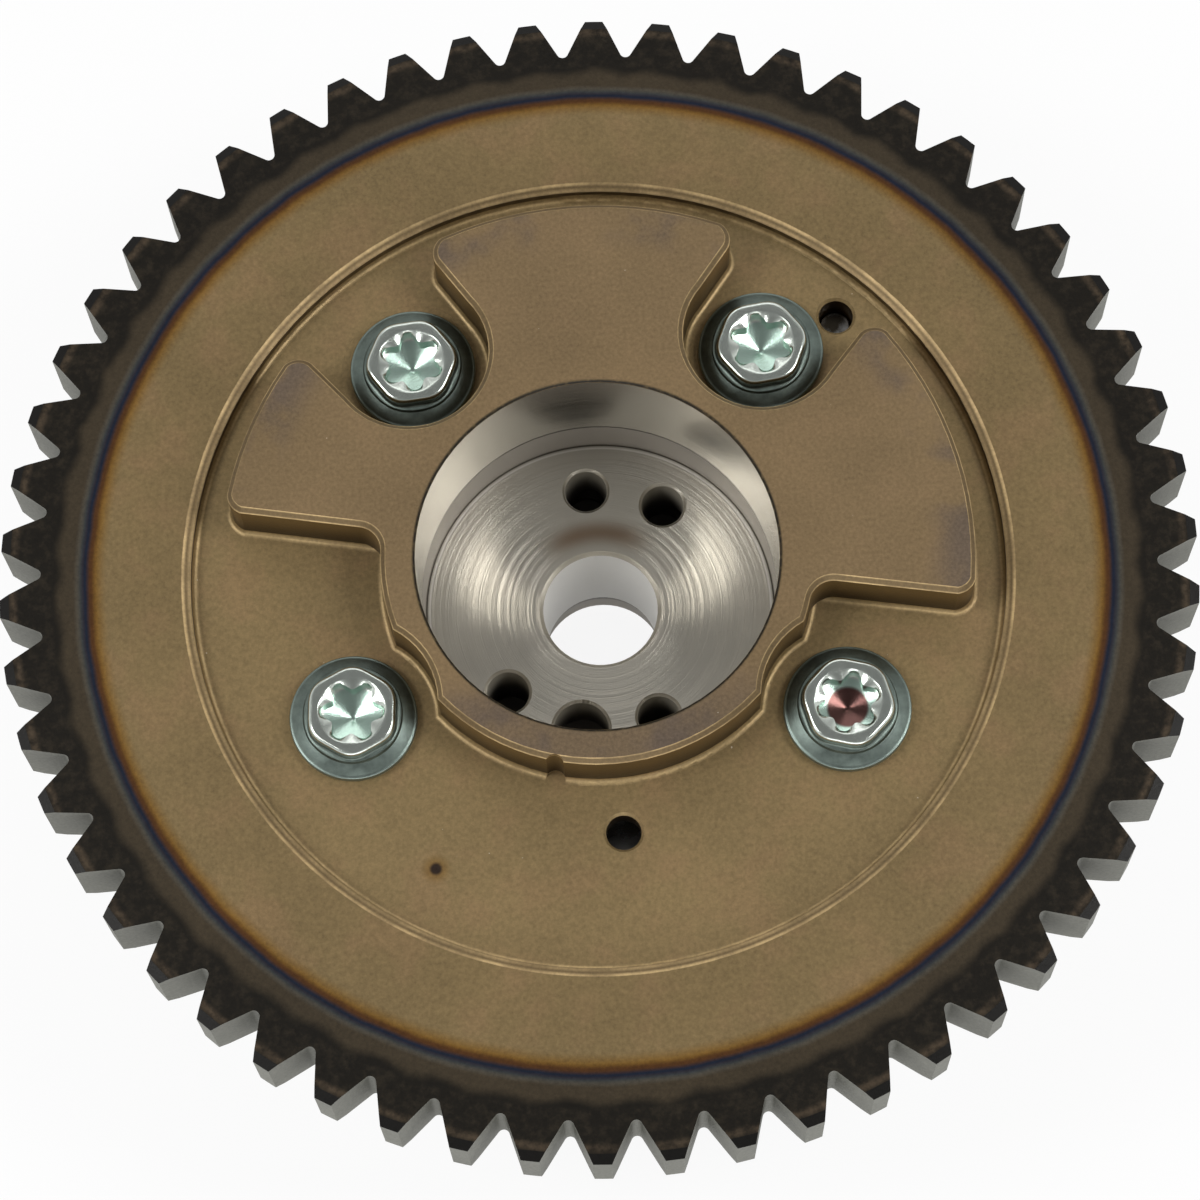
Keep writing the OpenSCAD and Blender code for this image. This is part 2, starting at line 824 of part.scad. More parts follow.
// one flange screw, standing on the plate at z = 0
module flange_screw() {
    shank_l = recess_z - screw_short;
    difference() {
        union() {
            rotate_extrude()
                polygon([
                    [0, -shank_l],
                    [screw_r - screw_bevel, -shank_l],
                    [screw_r, screw_bevel - shank_l],
                    [screw_r, flange_rim_h / 2],
                    [0, flange_rim_h / 2]]);
            intersection() {
                cylinder(r = flange_r, h = head_h);
                translate([0, 0, dome_z])
                    sphere(dome_r);
            }
            intersection() {
                translate([0, 0, flange_rim_h / 2])
                    linear_extrude(head_h)
                        head_outline();
                rotate_extrude()
                    polygon([
                        [0, 0],
                        [head_r + over, 0],
                        [head_r + over, head_h - screw_bevel - over],
                        [head_r - screw_bevel, head_h],
                        [0, head_h]]);
            }
        }
        translate([0, 0, head_h - drive_d])
            linear_extrude(drive_d + over)
                six_lobe(drive_r);
        translate([0, 0, head_h - drive_d - drive_r / 3])
            cylinder(r1 = 0, r2 = 0.7 * drive_r, h = drive_r / 3);
    }
}

module screw(i) {
    color("#aeb8b4")
        translate(concat(polar(screw_circle_r, screw_a[i]), recess_z))
            rotate(screw_turn[i])
                flange_screw();
}

module dowel_pin() {
    color("#a9a9a6")
        translate(concat(polar(dowel_circle_r, dowel_a), dowel_z))
            rotate_extrude()
                polygon([
                    [0, 0],
                    [dowel_r - dowel_bevel, 0],
                    [dowel_r, dowel_bevel],
                    [dowel_r, dowel_l - dowel_bevel],
                    [dowel_r - dowel_bevel, dowel_l],
                    [0, dowel_l]]);
}

sprocket();
stator_housing();
rotor();
front_cover();
vane_seal(0);  // vane_seal_1
vane_seal(1);  // vane_seal_2
vane_seal(2);  // vane_seal_3
vane_seal(3);  // vane_seal_4
vane_spring(0);  // vane_spring_1
vane_spring(1);  // vane_spring_2
vane_spring(2);  // vane_spring_3
vane_spring(3);  // vane_spring_4
web_seal(0);  // web_seal_1
web_seal(1);  // web_seal_2
web_seal(2);  // web_seal_3
web_seal(3);  // web_seal_4
web_spring(0);  // web_spring_1
web_spring(1);  // web_spring_2
web_spring(2);  // web_spring_3
web_spring(3);  // web_spring_4
lock_pin();
lock_spring();
lock_plug();
lock_bush();
screw(0);  // screw_1
screw(1);  // screw_2
screw(2);  // screw_3
screw(3);  // screw_4
dowel_pin();
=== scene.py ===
"""Looks of a vane-type cam phaser: finishes for every node, detailed flange screws and a white stage.

Lengths are in metres, as in the frame. The shaders work in millimetres, so their widths, offsets and
waves are written in mm.
"""

import math

import bpy
import numpy as np
from mathutils import Matrix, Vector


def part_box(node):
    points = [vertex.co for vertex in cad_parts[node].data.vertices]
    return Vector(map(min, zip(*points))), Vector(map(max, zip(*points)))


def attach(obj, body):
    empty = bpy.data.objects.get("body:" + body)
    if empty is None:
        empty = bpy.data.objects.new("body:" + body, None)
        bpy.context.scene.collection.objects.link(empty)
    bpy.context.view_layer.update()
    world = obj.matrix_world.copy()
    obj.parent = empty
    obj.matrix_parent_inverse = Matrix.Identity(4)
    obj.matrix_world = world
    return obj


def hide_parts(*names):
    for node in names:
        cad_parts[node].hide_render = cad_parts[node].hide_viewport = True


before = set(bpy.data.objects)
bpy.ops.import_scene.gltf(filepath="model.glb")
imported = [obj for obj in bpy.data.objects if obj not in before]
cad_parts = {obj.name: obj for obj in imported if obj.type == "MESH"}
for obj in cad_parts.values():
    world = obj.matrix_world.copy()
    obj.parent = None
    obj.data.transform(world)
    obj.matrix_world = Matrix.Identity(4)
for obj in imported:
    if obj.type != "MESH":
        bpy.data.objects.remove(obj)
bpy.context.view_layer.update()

bl_info = {
    "name": "Cam phaser looks",
    "version": (1, 0, 0),
    "blender": (4, 5, 0),
    "location": "View3D > Sidebar > Cam phaser",
    "description": "Finishes, flange screws and studio stage of a cam phaser",
    "category": "Object",
}

MM = 1000.0
SCREWS = ("screw_1", "screw_2", "screw_3", "screw_4")
SHARP_ANGLE = math.radians(38.0)


def shade(red, green, blue):
    """Linear colour of a shade written as it looks on a screen, 0 to 255."""
    screen = np.array([red, green, blue]) / 255.0
    linear = np.where(screen <= 0.04045, screen / 12.92, ((screen + 0.055) / 1.055) ** 2.4)
    return tuple(float(part) for part in linear)


def colour(name, what, red, green, blue):
    """The colour of something, with its default given as it looks on a screen."""
    return bpy.props.FloatVectorProperty(
        name=name, description="Colour of " + what, subtype="COLOR", size=3, min=0.0, max=1.0,
        default=shade(red, green, blue))


def number(name, description, default, **limits):
    """A number with its unit or limits."""
    return bpy.props.FloatProperty(name=name, description=description, default=default, **limits)


def length(name, description, default):
    """A length in metres."""
    return number(name, description, default, min=0.0, unit="LENGTH", precision=5)


def angle(name, description, degrees):
    """An angle, with its default given in degrees."""
    return number(name, description, math.radians(degrees), subtype="ANGLE")


def share(name, description, default):
    """A plain share between 0 and 1."""
    return number(name, description, default, min=0.0, max=1.0, subtype="FACTOR")


def in_mm(look, *names):
    """Named lengths of a finish, in mm."""
    return (getattr(look, name) * MM for name in names)


class SprocketFinish(bpy.types.PropertyGroup):
    """Finish of the steam-treated sprocket."""
    body: colour("Body brown", "the plate", 124, 105, 71)
    # Painted light: the floor of the recess is laid lighter than the plate, against the shade in the recess
    recess: colour("Recess", "the floor of the recess", 134, 114, 78)
    blotch: colour("Blotches", "the faint warm blotches", 138, 107, 79)
    lobe: colour("Lobe tops", "the tops of the sensor wheel", 127, 106, 77)
    # Laid both as real smudges on the lobe corners and as painted shade on the lower side of the wheel tops
    smudge: colour("Smudges", "the rubbed corners of the lobes", 96, 84, 75)
    # Painted shade on the walls: dark at the foot, lighter towards the top
    shaded_wall_foot: colour("Wall foot", "the foot of the walls of the wheel and the recess", 42, 28, 8)
    shaded_wall_top: colour("Wall top", "the top of the walls of the wheel", 104, 82, 46)
    bevel: colour("Bevels", "the bevels of the wheel", 104, 86, 58)
    # Painted highlights: thin light lines along the bevels, round the lip of the recess and at the feet of
    # the walls
    edge: colour("Edges", "the thin lit lines along the bevels", 194, 167, 120)
    amber: colour("Heat amber", "the band inside the heat line", 116, 84, 30)
    ember: colour("Heat brown", "the dark band right inside the heat line", 74, 44, 14)
    blue: colour("Heat blue", "the heat line", 16, 25, 42)
    teal: colour("Heat teal", "the band right outside the heat line", 36, 54, 64)
    pale: colour("Heat pale", "the thin pale line outside the heat line", 96, 96, 90)
    rim: colour("Hardened rim", "the hardened rim", 60, 51, 37)
    tooth: colour("Tooth faces", "the faces of the teeth", 19, 15, 7)
    scuff: colour("Tooth scuffs", "the scuffs on the faces of the teeth", 56, 48, 36)
    # Partly rub and partly painted sheen: the lighter band inside the tip bevels
    rub_and_sheen: colour("Tip rub", "the rubbed band inside the tip bevels", 88, 74, 58)
    tip: colour("Tip bevels", "the bevels at the tips of the teeth", 12, 10, 7)
    flank: colour("Tooth flanks", "the flanks, tips and valleys of the teeth", 114, 114, 106)
    steel: colour("Bore steel", "the turned wall of the bore", 226, 222, 214)
    burn: colour("Burnt spot", "the burnt spot on the recess", 44, 32, 24)
    speck: colour("Specks", "the bright specks inside the recess", 196, 186, 168)
    heat_radius: length("Heat line radius", "Radius of the heat line on the plate", 0.0469)
    dark_radius: length("Tooth face radius", "Radius at which the dark tooth faces start", 0.0492)
    tip_radius: length("Tip bevel radius", "Radius at which the bevel of the tooth tips starts", 0.05386)
    recess_radius: length("Recess radius", "Radius of the recess in the plate", 0.03725)
    lip_width: length("Lip width", "Width of the bevel round the recess", 0.00085)
    mouth_radius: length("Mouth radius", "Radius of the bore that the camshaft nose turns in", 0.0165)
    smudge_radius: length("Smudge radius", "Radius about which the rubbed corners of the lobes start", 0.031)
    # Painted shade: the wheel tops are darkened below this distance under the axis
    hub_shade_start: length("Ring rub", "Distance below the axis at which the rubbed part of the hub starts", 0.0125)
    spot: bpy.props.FloatVectorProperty(
        name="Spot", description="Place of the burnt spot on the recess", size=2, unit="LENGTH",
        default=(-0.01635, -0.02681))
    wheel_top: length("Wheel top", "Height of the tops of the sensor wheel", 0.0347)
    wheel_bevel: length("Wheel bevel", "Height of the bevel of the sensor wheel", 0.0005)
    recess_floor: length("Recess floor", "Height of the floor of the recess", 0.0289)
    plate_top: length("Plate top", "Height of the face of the plate", 0.0305)
    plate_bottom: length("Plate bottom", "Height of the underside of the plate", 0.0225)
    teeth: bpy.props.IntProperty(name="Teeth", description="Number of chain teeth", default=54, min=1)


class RotorFinish(bpy.types.PropertyGroup):
    """Finish of the turned rotor."""
    steel: colour("Steel", "the turned steel", 190, 185, 173)
    bore: colour("Bolt bore", "the wall of the bolt bore", 236, 235, 232)
    seat: colour("Seat wall", "the wall of the seat for the camshaft nose", 176, 170, 162)
    glint: colour("Seat glint", "the thin line round the seat", 246, 244, 240)
    # Painted shade: dark in the depths of the oil holes, in the relief of the bolt bore and in the line at
    # the foot of the seat
    hole: colour("Deep holes", "the depths of the oil holes", 62, 57, 51)
    drilled: colour("Drilled holes", "the mouths of the oil holes", 160, 154, 140)
    stain: colour("Stains", "the faint stains on the steel", 150, 142, 134)
    warm: colour("Warm arc", "the faint arc above the bolt bore", 122, 94, 66)
    floor_height: length("Floor height", "Height of the floor that the camshaft nose sits on", 0.0178)
    seat_radius: length("Seat radius", "Radius of the seat for the camshaft nose", 0.0165)
    bore_limit: length("Bore limit", "Radius between the bolt bore and the oil holes", 0.0068)
    arc_radius: length("Arc radius", "Radius of the warm arc", 0.0076)
    relief_radius: length("Relief radius", "Radius of the relief at the front of the bolt bore", 0.0059)
    relief_end: length("Relief end", "Height of the inner end of that relief", 0.0031)
    drill_end: length("Drilling end", "Height of the deep ends of the oil holes", 0.003)
    lean: share("Line lean", "How far the turning lines lean the surface", 0.44)
    lines: number("Lines", "Turning lines per mm", 30.0, min=0.0)


class HousingFinish(bpy.types.PropertyGroup):
    """Finish of the stator housing and of the front cover."""
    sintered: colour("Sintered grey", "the stator housing", 150, 149, 145)
    drawn: colour("Drawn lines", "the drawn lines on the walls of the housing", 116, 115, 111)
    pore: colour("Pores", "the pores in the housing", 58, 56, 52)
    cover: colour("Cover steel", "the turned front cover", 172, 170, 166)
    stain: colour("Oil stains", "the oil stains on the cover", 134, 124, 108)
    bevel: colour("Cover bevels", "the bright bevels of the cover", 206, 204, 200)


class SmallPartsFinish(bpy.types.PropertyGroup):
    """Finish of the pins, springs and seals."""
    ground: colour("Ground steel", "the pins, the plug and the bush", 186, 185, 182)
    # A dark steel laid over most of the dowel pin
    darkened: colour("Oiled steel", "the dowel pin deep in its hole", 74, 68, 58)
    stain: colour("Stains", "the stains on the ground steel", 140, 136, 128)
    spring: colour("Spring steel", "the springs", 122, 124, 130)
    straw: colour("Straw", "the heat tint on the springs", 128, 112, 92)
    seal: colour("Seal polymer", "the seal strips", 62, 50, 40)
    fibre: colour("Fibres", "the fibres in the seal strips", 104, 88, 68)


class ScrewFinish(bpy.types.PropertyGroup):
    """Shape and finish of the flange screws."""
    flange_radius: length("Flange radius", "Radius of the flange", 0.0058)
    flange_rim: length("Flange rim", "Height of the flange at its rim", 0.0009)
    flange_height: length("Flange height", "Height of the domed flange at the head", 0.0019)
    head_radius: length("Head radius", "Radius of the six-lobe head", 0.0042)
    head_height: length("Head height", "Height of the head over the plate", 0.0032)
    scoop: length("Scoop depth", "Depth of the six scoops in the head", 0.00025)
    drive_radius: length("Drive radius", "Radius of the six-lobe drive", 0.0028)
    drive_depth: length("Drive depth", "Depth of the drive", 0.0018)
    drive_hollow: share("Drive hollow", "How far the drive draws in between two lobes", 0.26)
    drive_swell: number("Drive swell", "How round the lobes of the drive are", 1.3, min=0.1)
    cone_depth: length("Cone depth", "Depth of the cone under the drive", 0.00093)
    shank_radius: length("Thread radius", "Outer radius of the thread", 0.003)
    thread_pitch: length("Thread pitch", "Pitch of the thread", 0.001)
    thread_length: length("Thread length", "Length of the thread", 0.012)
    thread_depth: length("Thread depth", "Depth of the thread", 0.00052)
    zinc: colour("Zinc", "the plated head", 205, 212, 204)
    flange: colour("Flange", "the dark flange", 108, 119, 113)
    pit: colour("Drive", "the plating in the drive", 158, 196, 180)
    # Painted highlight: a pale line round the rounded rim of the flange
    rim: colour("Flange edge", "the lit edge of the flange", 142, 156, 150)
    residue: colour("Residue", "the residue in the drive of one screw", 92, 66, 62)


class StageSettings(bpy.types.PropertyGroup):
    """Camera, light and floor."""
    tilt: angle("Tilt", "Angle between the view and the axis of the wheel", 17.545)
    pan: angle("Pan", "Sideways angle of the view", -0.106)
    roll: angle("Roll", "Angle that the picture is turned by", 3.107)
    turn: angle("Turn", "Angle from the first tooth to the picture's own axis", 0.84)
    distance: length("Distance", "Distance from the plate to the camera", 0.38042)
    shift_right: number("Shift right", "Offset of the wheel to the right", -0.000191, unit="LENGTH")
    shift_up: number("Shift up", "Offset of the wheel upwards", 0.002977, unit="LENGTH")
    plate_height: length("Plate height", "Height of the plate face over the floor", 0.0305)
    lens: number("Lens", "Focal length in mm on a 36 mm picture", 125.06, min=1.0)
    side_power: number("Side light", "Power of each light at the side", 1.1, min=0.0, unit="POWER")
    front_power: number("Front light", "Power of the light at the front", 0.7, min=0.0, unit="POWER")
    back_power: number("Back light", "Power of the light behind", 0.35, min=0.0, unit="POWER")
    world_low: share("Horizon", "Strength of the world at the horizon", 0.9)
    world_high: share("Overhead", "Strength of the world overhead", 0.22)
    floor_white: share("White floor", "Share of the floor that shows as plain white", 0.9)


# Node helpers


def feed(tree, socket, value):
    """Link an output to an input socket, or set the input's own value."""
    if isinstance(value, bpy.types.NodeSocket):
        tree.links.new(value, socket)
    else:
        socket.default_value = value


def node(tree, kind, inputs=(), **settings):
    """Add a node. inputs gives a value or an output socket for an input's name or number."""
    made = tree.nodes.new(kind)
    for name, value in settings.items():
        setattr(made, name, value)
    for key, value in dict(inputs).items():
        feed(tree, made.inputs[key], value)
    return made


def calc(tree, operation, *values):
    """One math node."""
    return node(tree, "ShaderNodeMath", enumerate(values), operation=operation).outputs[0]


def vector(tree, operation, *values):
    """One vector math node."""
    made = node(tree, "ShaderNodeVectorMath", enumerate(values), operation=operation)
    return made.outputs["Value" if operation in ("DOT_PRODUCT", "LENGTH", "DISTANCE") else "Vector"]


def scaled(tree, value, factor):
    """A vector times a number."""
    made = node(tree, "ShaderNodeVectorMath", {"Vector": value, "Scale": factor}, operation="SCALE")
    return made.outputs[0]


def rise(tree, value, low, high):
    """A smooth step from 0 at low to 1 at high."""
    return node(tree, "ShaderNodeMapRange", {"Value": value, "From Min": low, "From Max": high},
                interpolation_type="SMOOTHSTEP").outputs["Result"]


def spread(tree, value, low, high):
    """A value from 0 to 1 brought to the range from low to high."""
    made = node(tree, "ShaderNodeMapRange", {"Value": value, "To Min": low, "To Max": high})
    return made.outputs["Result"]


def both(tree, *masks):
    """The product of masks."""
    result = masks[0]
    for mask in masks[1:]:
        result = calc(tree, "MULTIPLY", result, mask)
    return result


def opaque(paint):
    """A colour for a colour socket: an output as it is, or a plain colour with its alpha."""
    return paint if isinstance(paint, bpy.types.NodeSocket) else (*paint, 1.0)


def blend(tree, mask, under, over):
    """Colour over laid on colour under where the mask is 1."""
    return node(tree, "ShaderNodeMix", {0: mask, 6: opaque(under), 7: opaque(over)},
                data_type="RGBA").outputs[2]


def tinted(tree, paint, tone):
    """A colour times a tone near 1."""
    return node(tree, "ShaderNodeMix", {0: 1.0, 6: opaque(paint), 7: tone},
                data_type="RGBA", blend_type="MULTIPLY").outputs[2]


def mixed(tree, mask, low, high):
    """A number that goes from low to high with the mask."""
    return node(tree, "ShaderNodeMix", {0: mask, 2: low, 3: high}, data_type="FLOAT").outputs[0]


def noise(tree, place, scale, detail=2.0, rough=0.5):
    """Noise over a place in mm, with scale in waves per mm."""
    return node(tree, "ShaderNodeTexNoise",
                {"Vector": place, "Scale": scale, "Detail": detail, "Roughness": rough}).outputs["Fac"]


def new_group(name, inputs, outputs):
    """An empty shader node group with named sockets. Returns its tree, inputs and outputs."""
    tree = bpy.data.node_groups.new(name, "ShaderNodeTree")
    for label, kind, value in inputs:
        made = tree.interface.new_socket(label, in_out="INPUT", socket_type=kind)
        if value is not None:
            made.default_value = value
    for label, kind in outputs:
        tree.interface.new_socket(label, in_out="OUTPUT", socket_type=kind)
    source = tree.nodes.new("NodeGroupInput").outputs
    drain = tree.nodes.new("NodeGroupOutput").inputs
    return tree, source, drain


def placed(tree, name, inputs):
    """Place a finished group in a tree with its inputs and return its outputs."""
    made = tree.nodes.new("ShaderNodeGroup")
    made.node_tree = bpy.data.node_groups[name]
    for key, value in inputs.items():
        feed(tree, made.inputs[key], value)
    return made.outputs


FLOAT, VECTOR = "NodeSocketFloat", "NodeSocketVector"


def make_polar_group():
    """Polar place round the Z axis: radius, height and distance along Y in mm, angle in radians."""
    tree, source, drain = new_group(
        "polar place", [("Position", VECTOR, None)],
        [("Place", VECTOR), ("Radius", FLOAT), ("Height", FLOAT), ("Along Y", FLOAT), ("Angle", FLOAT)])
    place = scaled(tree, source["Position"], MM)
    parts = node(tree, "ShaderNodeSeparateXYZ", {0: place}).outputs
    flat = vector(tree, "MULTIPLY", place, (1.0, 1.0, 0.0))
    tree.links.new(place, drain["Place"])
    tree.links.new(vector(tree, "LENGTH", flat), drain["Radius"])
    tree.links.new(parts["Z"], drain["Height"])
    tree.links.new(parts["Y"], drain["Along Y"])
    tree.links.new(calc(tree, "ARCTAN2", parts["Y"], parts["X"]), drain["Angle"])


def make_slope_group():
    """Masks of how a surface lies: level, facing up, bevelled or standing."""
    tree, source, drain = new_group(
        "slope masks", [("Normal", VECTOR, None)],
        [("Level", FLOAT), ("Top", FLOAT), ("Bevel", FLOAT), ("Wall", FLOAT)])
    up = node(tree, "ShaderNodeSeparateXYZ", {0: source["Normal"]}).outputs["Z"]
    steep = calc(tree, "ABSOLUTE", up)
    tree.links.new(rise(tree, steep, 0.955, 0.985), drain["Level"])
    tree.links.new(rise(tree, up, 0.955, 0.985), drain["Top"])
    bevel = both(tree, rise(tree, steep, 0.25, 0.45), rise(tree, steep, 0.975, 0.945))
    tree.links.new(bevel, drain["Bevel"])
    tree.links.new(rise(tree, steep, 0.3, 0.12), drain["Wall"])


def make_line_group():
    """Mask of a soft line: 1 where a value is at its middle, 0 one width away."""
    tree, source, drain = new_group(
        "soft line", [("Value", FLOAT, 0.0), ("Middle", FLOAT, 0.0), ("Width", FLOAT, 1.0)],
        [("Mask", FLOAT)])
    away = calc(tree, "ABSOLUTE", calc(tree, "SUBTRACT", source["Value"], source["Middle"]))
    near = calc(tree, "DIVIDE", away, source["Width"])
    tree.links.new(rise(tree, near, 1.0, 0.0), drain["Mask"])


def make_grain_group():
    """Sintered grain: a tone near 1 of blotches and grains, a pore mask and a height for bump."""
    tree, source, drain = new_group(
        "sintered grain", [("Place", VECTOR, None), ("Grain", FLOAT, 3.0), ("Strength", FLOAT, 0.1)],
        [("Tone", FLOAT), ("Pores", FLOAT), ("Height", FLOAT)])
    blotch = noise(tree, source["Place"], 0.11, 3.0)
    grains = noise(tree, source["Place"], source["Grain"], 3.0, 0.6)
    fine = noise(tree, source["Place"], calc(tree, "MULTIPLY", source["Grain"], 3.1), 1.0)
    swing = calc(tree, "MULTIPLY_ADD", calc(tree, "SUBTRACT", blotch, 0.5), 0.5,
                 calc(tree, "SUBTRACT", grains, 0.5))
    tree.links.new(calc(tree, "MULTIPLY_ADD", swing, source["Strength"], 1.0), drain["Tone"])
    tree.links.new(rise(tree, grains, 0.70, 0.78), drain["Pores"])
    tree.links.new(calc(tree, "ADD", grains, calc(tree, "MULTIPLY", fine, 0.5)), drain["Height"])


def make_turning_group():
    """Turning lines round the Z axis. Each line leans the normal along the profile by a noise of
    radius plus height, so a lathe finish shows its fan of light. Also a tone near 1."""
    tree, source, drain = new_group(
        "turning lines",
        [("Position", VECTOR, None), ("Normal", VECTOR, None), ("Lines", FLOAT, 8.0), ("Lean", FLOAT, 0.15)],
        [("Normal", VECTOR), ("Tone", FLOAT)])
    place = scaled(tree, source["Position"], MM)
    flat = vector(tree, "MULTIPLY", place, (1.0, 1.0, 0.0))
    round_way = vector(tree, "NORMALIZE", vector(tree, "CROSS_PRODUCT", (0.0, 0.0, 1.0), flat))
    along = vector(tree, "CROSS_PRODUCT", round_way, source["Normal"])
    height = node(tree, "ShaderNodeSeparateXYZ", {0: place}).outputs["Z"]
    path = calc(tree, "ADD", vector(tree, "LENGTH", flat), height)
    fine = node(tree, "ShaderNodeTexNoise", {"W": path, "Scale": source["Lines"], "Detail": 2.0},
                noise_dimensions="1D").outputs["Fac"]
    coarse = node(tree, "ShaderNodeTexNoise",
                  {"W": path, "Scale": calc(tree, "MULTIPLY", source["Lines"], 0.13), "Detail": 1.0},
                  noise_dimensions="1D").outputs["Fac"]
    coarse_share = 0.05
    middle = 0.5 + 0.5 * coarse_share
    swing = calc(tree, "SUBTRACT", calc(tree, "MULTIPLY_ADD", coarse, coarse_share, fine), middle)
    lean = calc(tree, "MULTIPLY", calc(tree, "MULTIPLY", swing, 4.0), source["Lean"])
    leaned = vector(tree, "NORMALIZE", vector(tree, "ADD", source["Normal"], scaled(tree, along, lean)))
    world = node(tree, "ShaderNodeVectorTransform", {0: leaned},
                 vector_type="NORMAL", convert_from="OBJECT", convert_to="WORLD").outputs[0]
    tree.links.new(world, drain["Normal"])
    tree.links.new(calc(tree, "MULTIPLY_ADD", swing, 0.3, 1.0), drain["Tone"])


def make_groups():
    """All shared node groups, each made once."""
    for name, make in (("polar place", make_polar_group), ("slope masks", make_slope_group),
                       ("soft line", make_line_group), ("sintered grain", make_grain_group),
                       ("turning lines", make_turning_group)):
        if name not in bpy.data.node_groups:
            make()


class Finish:
    """A new material: its shader, its paint, and the places and masks that its nodes start from."""

    def __init__(self, name, paint, centre=(0.0, 0.0, 0.0)):
        make_groups()
        self.material = bpy.data.materials.new(name)
        self.material.use_nodes = True
        self.tree = self.material.node_tree
        self.shader = self.tree.nodes["Principled BSDF"]
        self.paint = paint
        coordinates = self.tree.nodes.new("ShaderNodeTexCoord").outputs
        self.normal = coordinates["Normal"]
        self.position = coordinates["Object"]
        if any(centre):
            self.position = node(self.tree, "ShaderNodeMapping", {
                "Vector": coordinates["Object"], "Location": tuple(-part for part in centre)}).outputs[0]
        polar = placed(self.tree, "polar place", {"Position": self.position})
        self.place, self.radius, self.height, self.along_y, self.angle = (
            polar[name] for name in ("Place", "Radius", "Height", "Along Y", "Angle"))
        slope = placed(self.tree, "slope masks", {"Normal": self.normal})
        self.level, self.top, self.bevel, self.wall = (
            slope[name] for name in ("Level", "Top", "Bevel", "Wall"))

    def line(self, value, middle, width):
        return placed(self.tree, "soft line", {"Value": value, "Middle": middle, "Width": width})["Mask"]

    def grain(self, grain, strength):
        return placed(self.tree, "sintered grain", {
            "Place": self.place, "Grain": grain, "Strength": strength})

    def turning(self, lines, lean):
        return placed(self.tree, "turning lines", {
            "Position": self.position, "Normal": self.normal, "Lines": lines, "Lean": lean})

    def rise(self, value, low, high):
        return rise(self.tree, value, low, high)

    def noise(self, scale, detail=2.0, rough=0.5, drawn=1.0):
        """Noise over the piece, with scale in waves per mm. A small drawn makes it long along the axis."""
        place = self.place
        if drawn != 1.0:
            place = vector(self.tree, "MULTIPLY", place, (1.0, 1.0, drawn))
        return noise(self.tree, place, scale, detail, rough)

    def lay(self, paint, *masks):
        """Lay a colour over the paint, as strong as the product of the masks."""
        self.paint = blend(self.tree, both(self.tree, *masks), self.paint, paint)

    def tone(self, tone):
        """Multiply the paint by a tone near 1."""
        self.paint = tinted(self.tree, self.paint, tone)

    def bump(self, height, depth):
        """A bump of some depth in mm."""
        return node(self.tree, "ShaderNodeBump", {
            "Height": height, "Distance": depth / MM, "Strength": 1.0}).outputs["Normal"]

    def set(self, **sockets):
        """Give the shader its paint and its other sockets; spaces are written as underscores."""
        for name, value in {"Base_Color": self.paint, **sockets}.items():
            feed(self.tree, self.shader.inputs[name.replace("_", " ")], value)

    def give(self, *names):
        """Put the material on CAD nodes."""
        for name in names:
            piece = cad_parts[name]
            if not piece.material_slots:
                piece.data.materials.append(self.material)
            for slot in piece.material_slots:
                slot.material = self.material


def nodes_like(stem):
    """The CAD nodes whose name starts with a stem."""
    return [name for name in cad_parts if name.startswith(stem)]


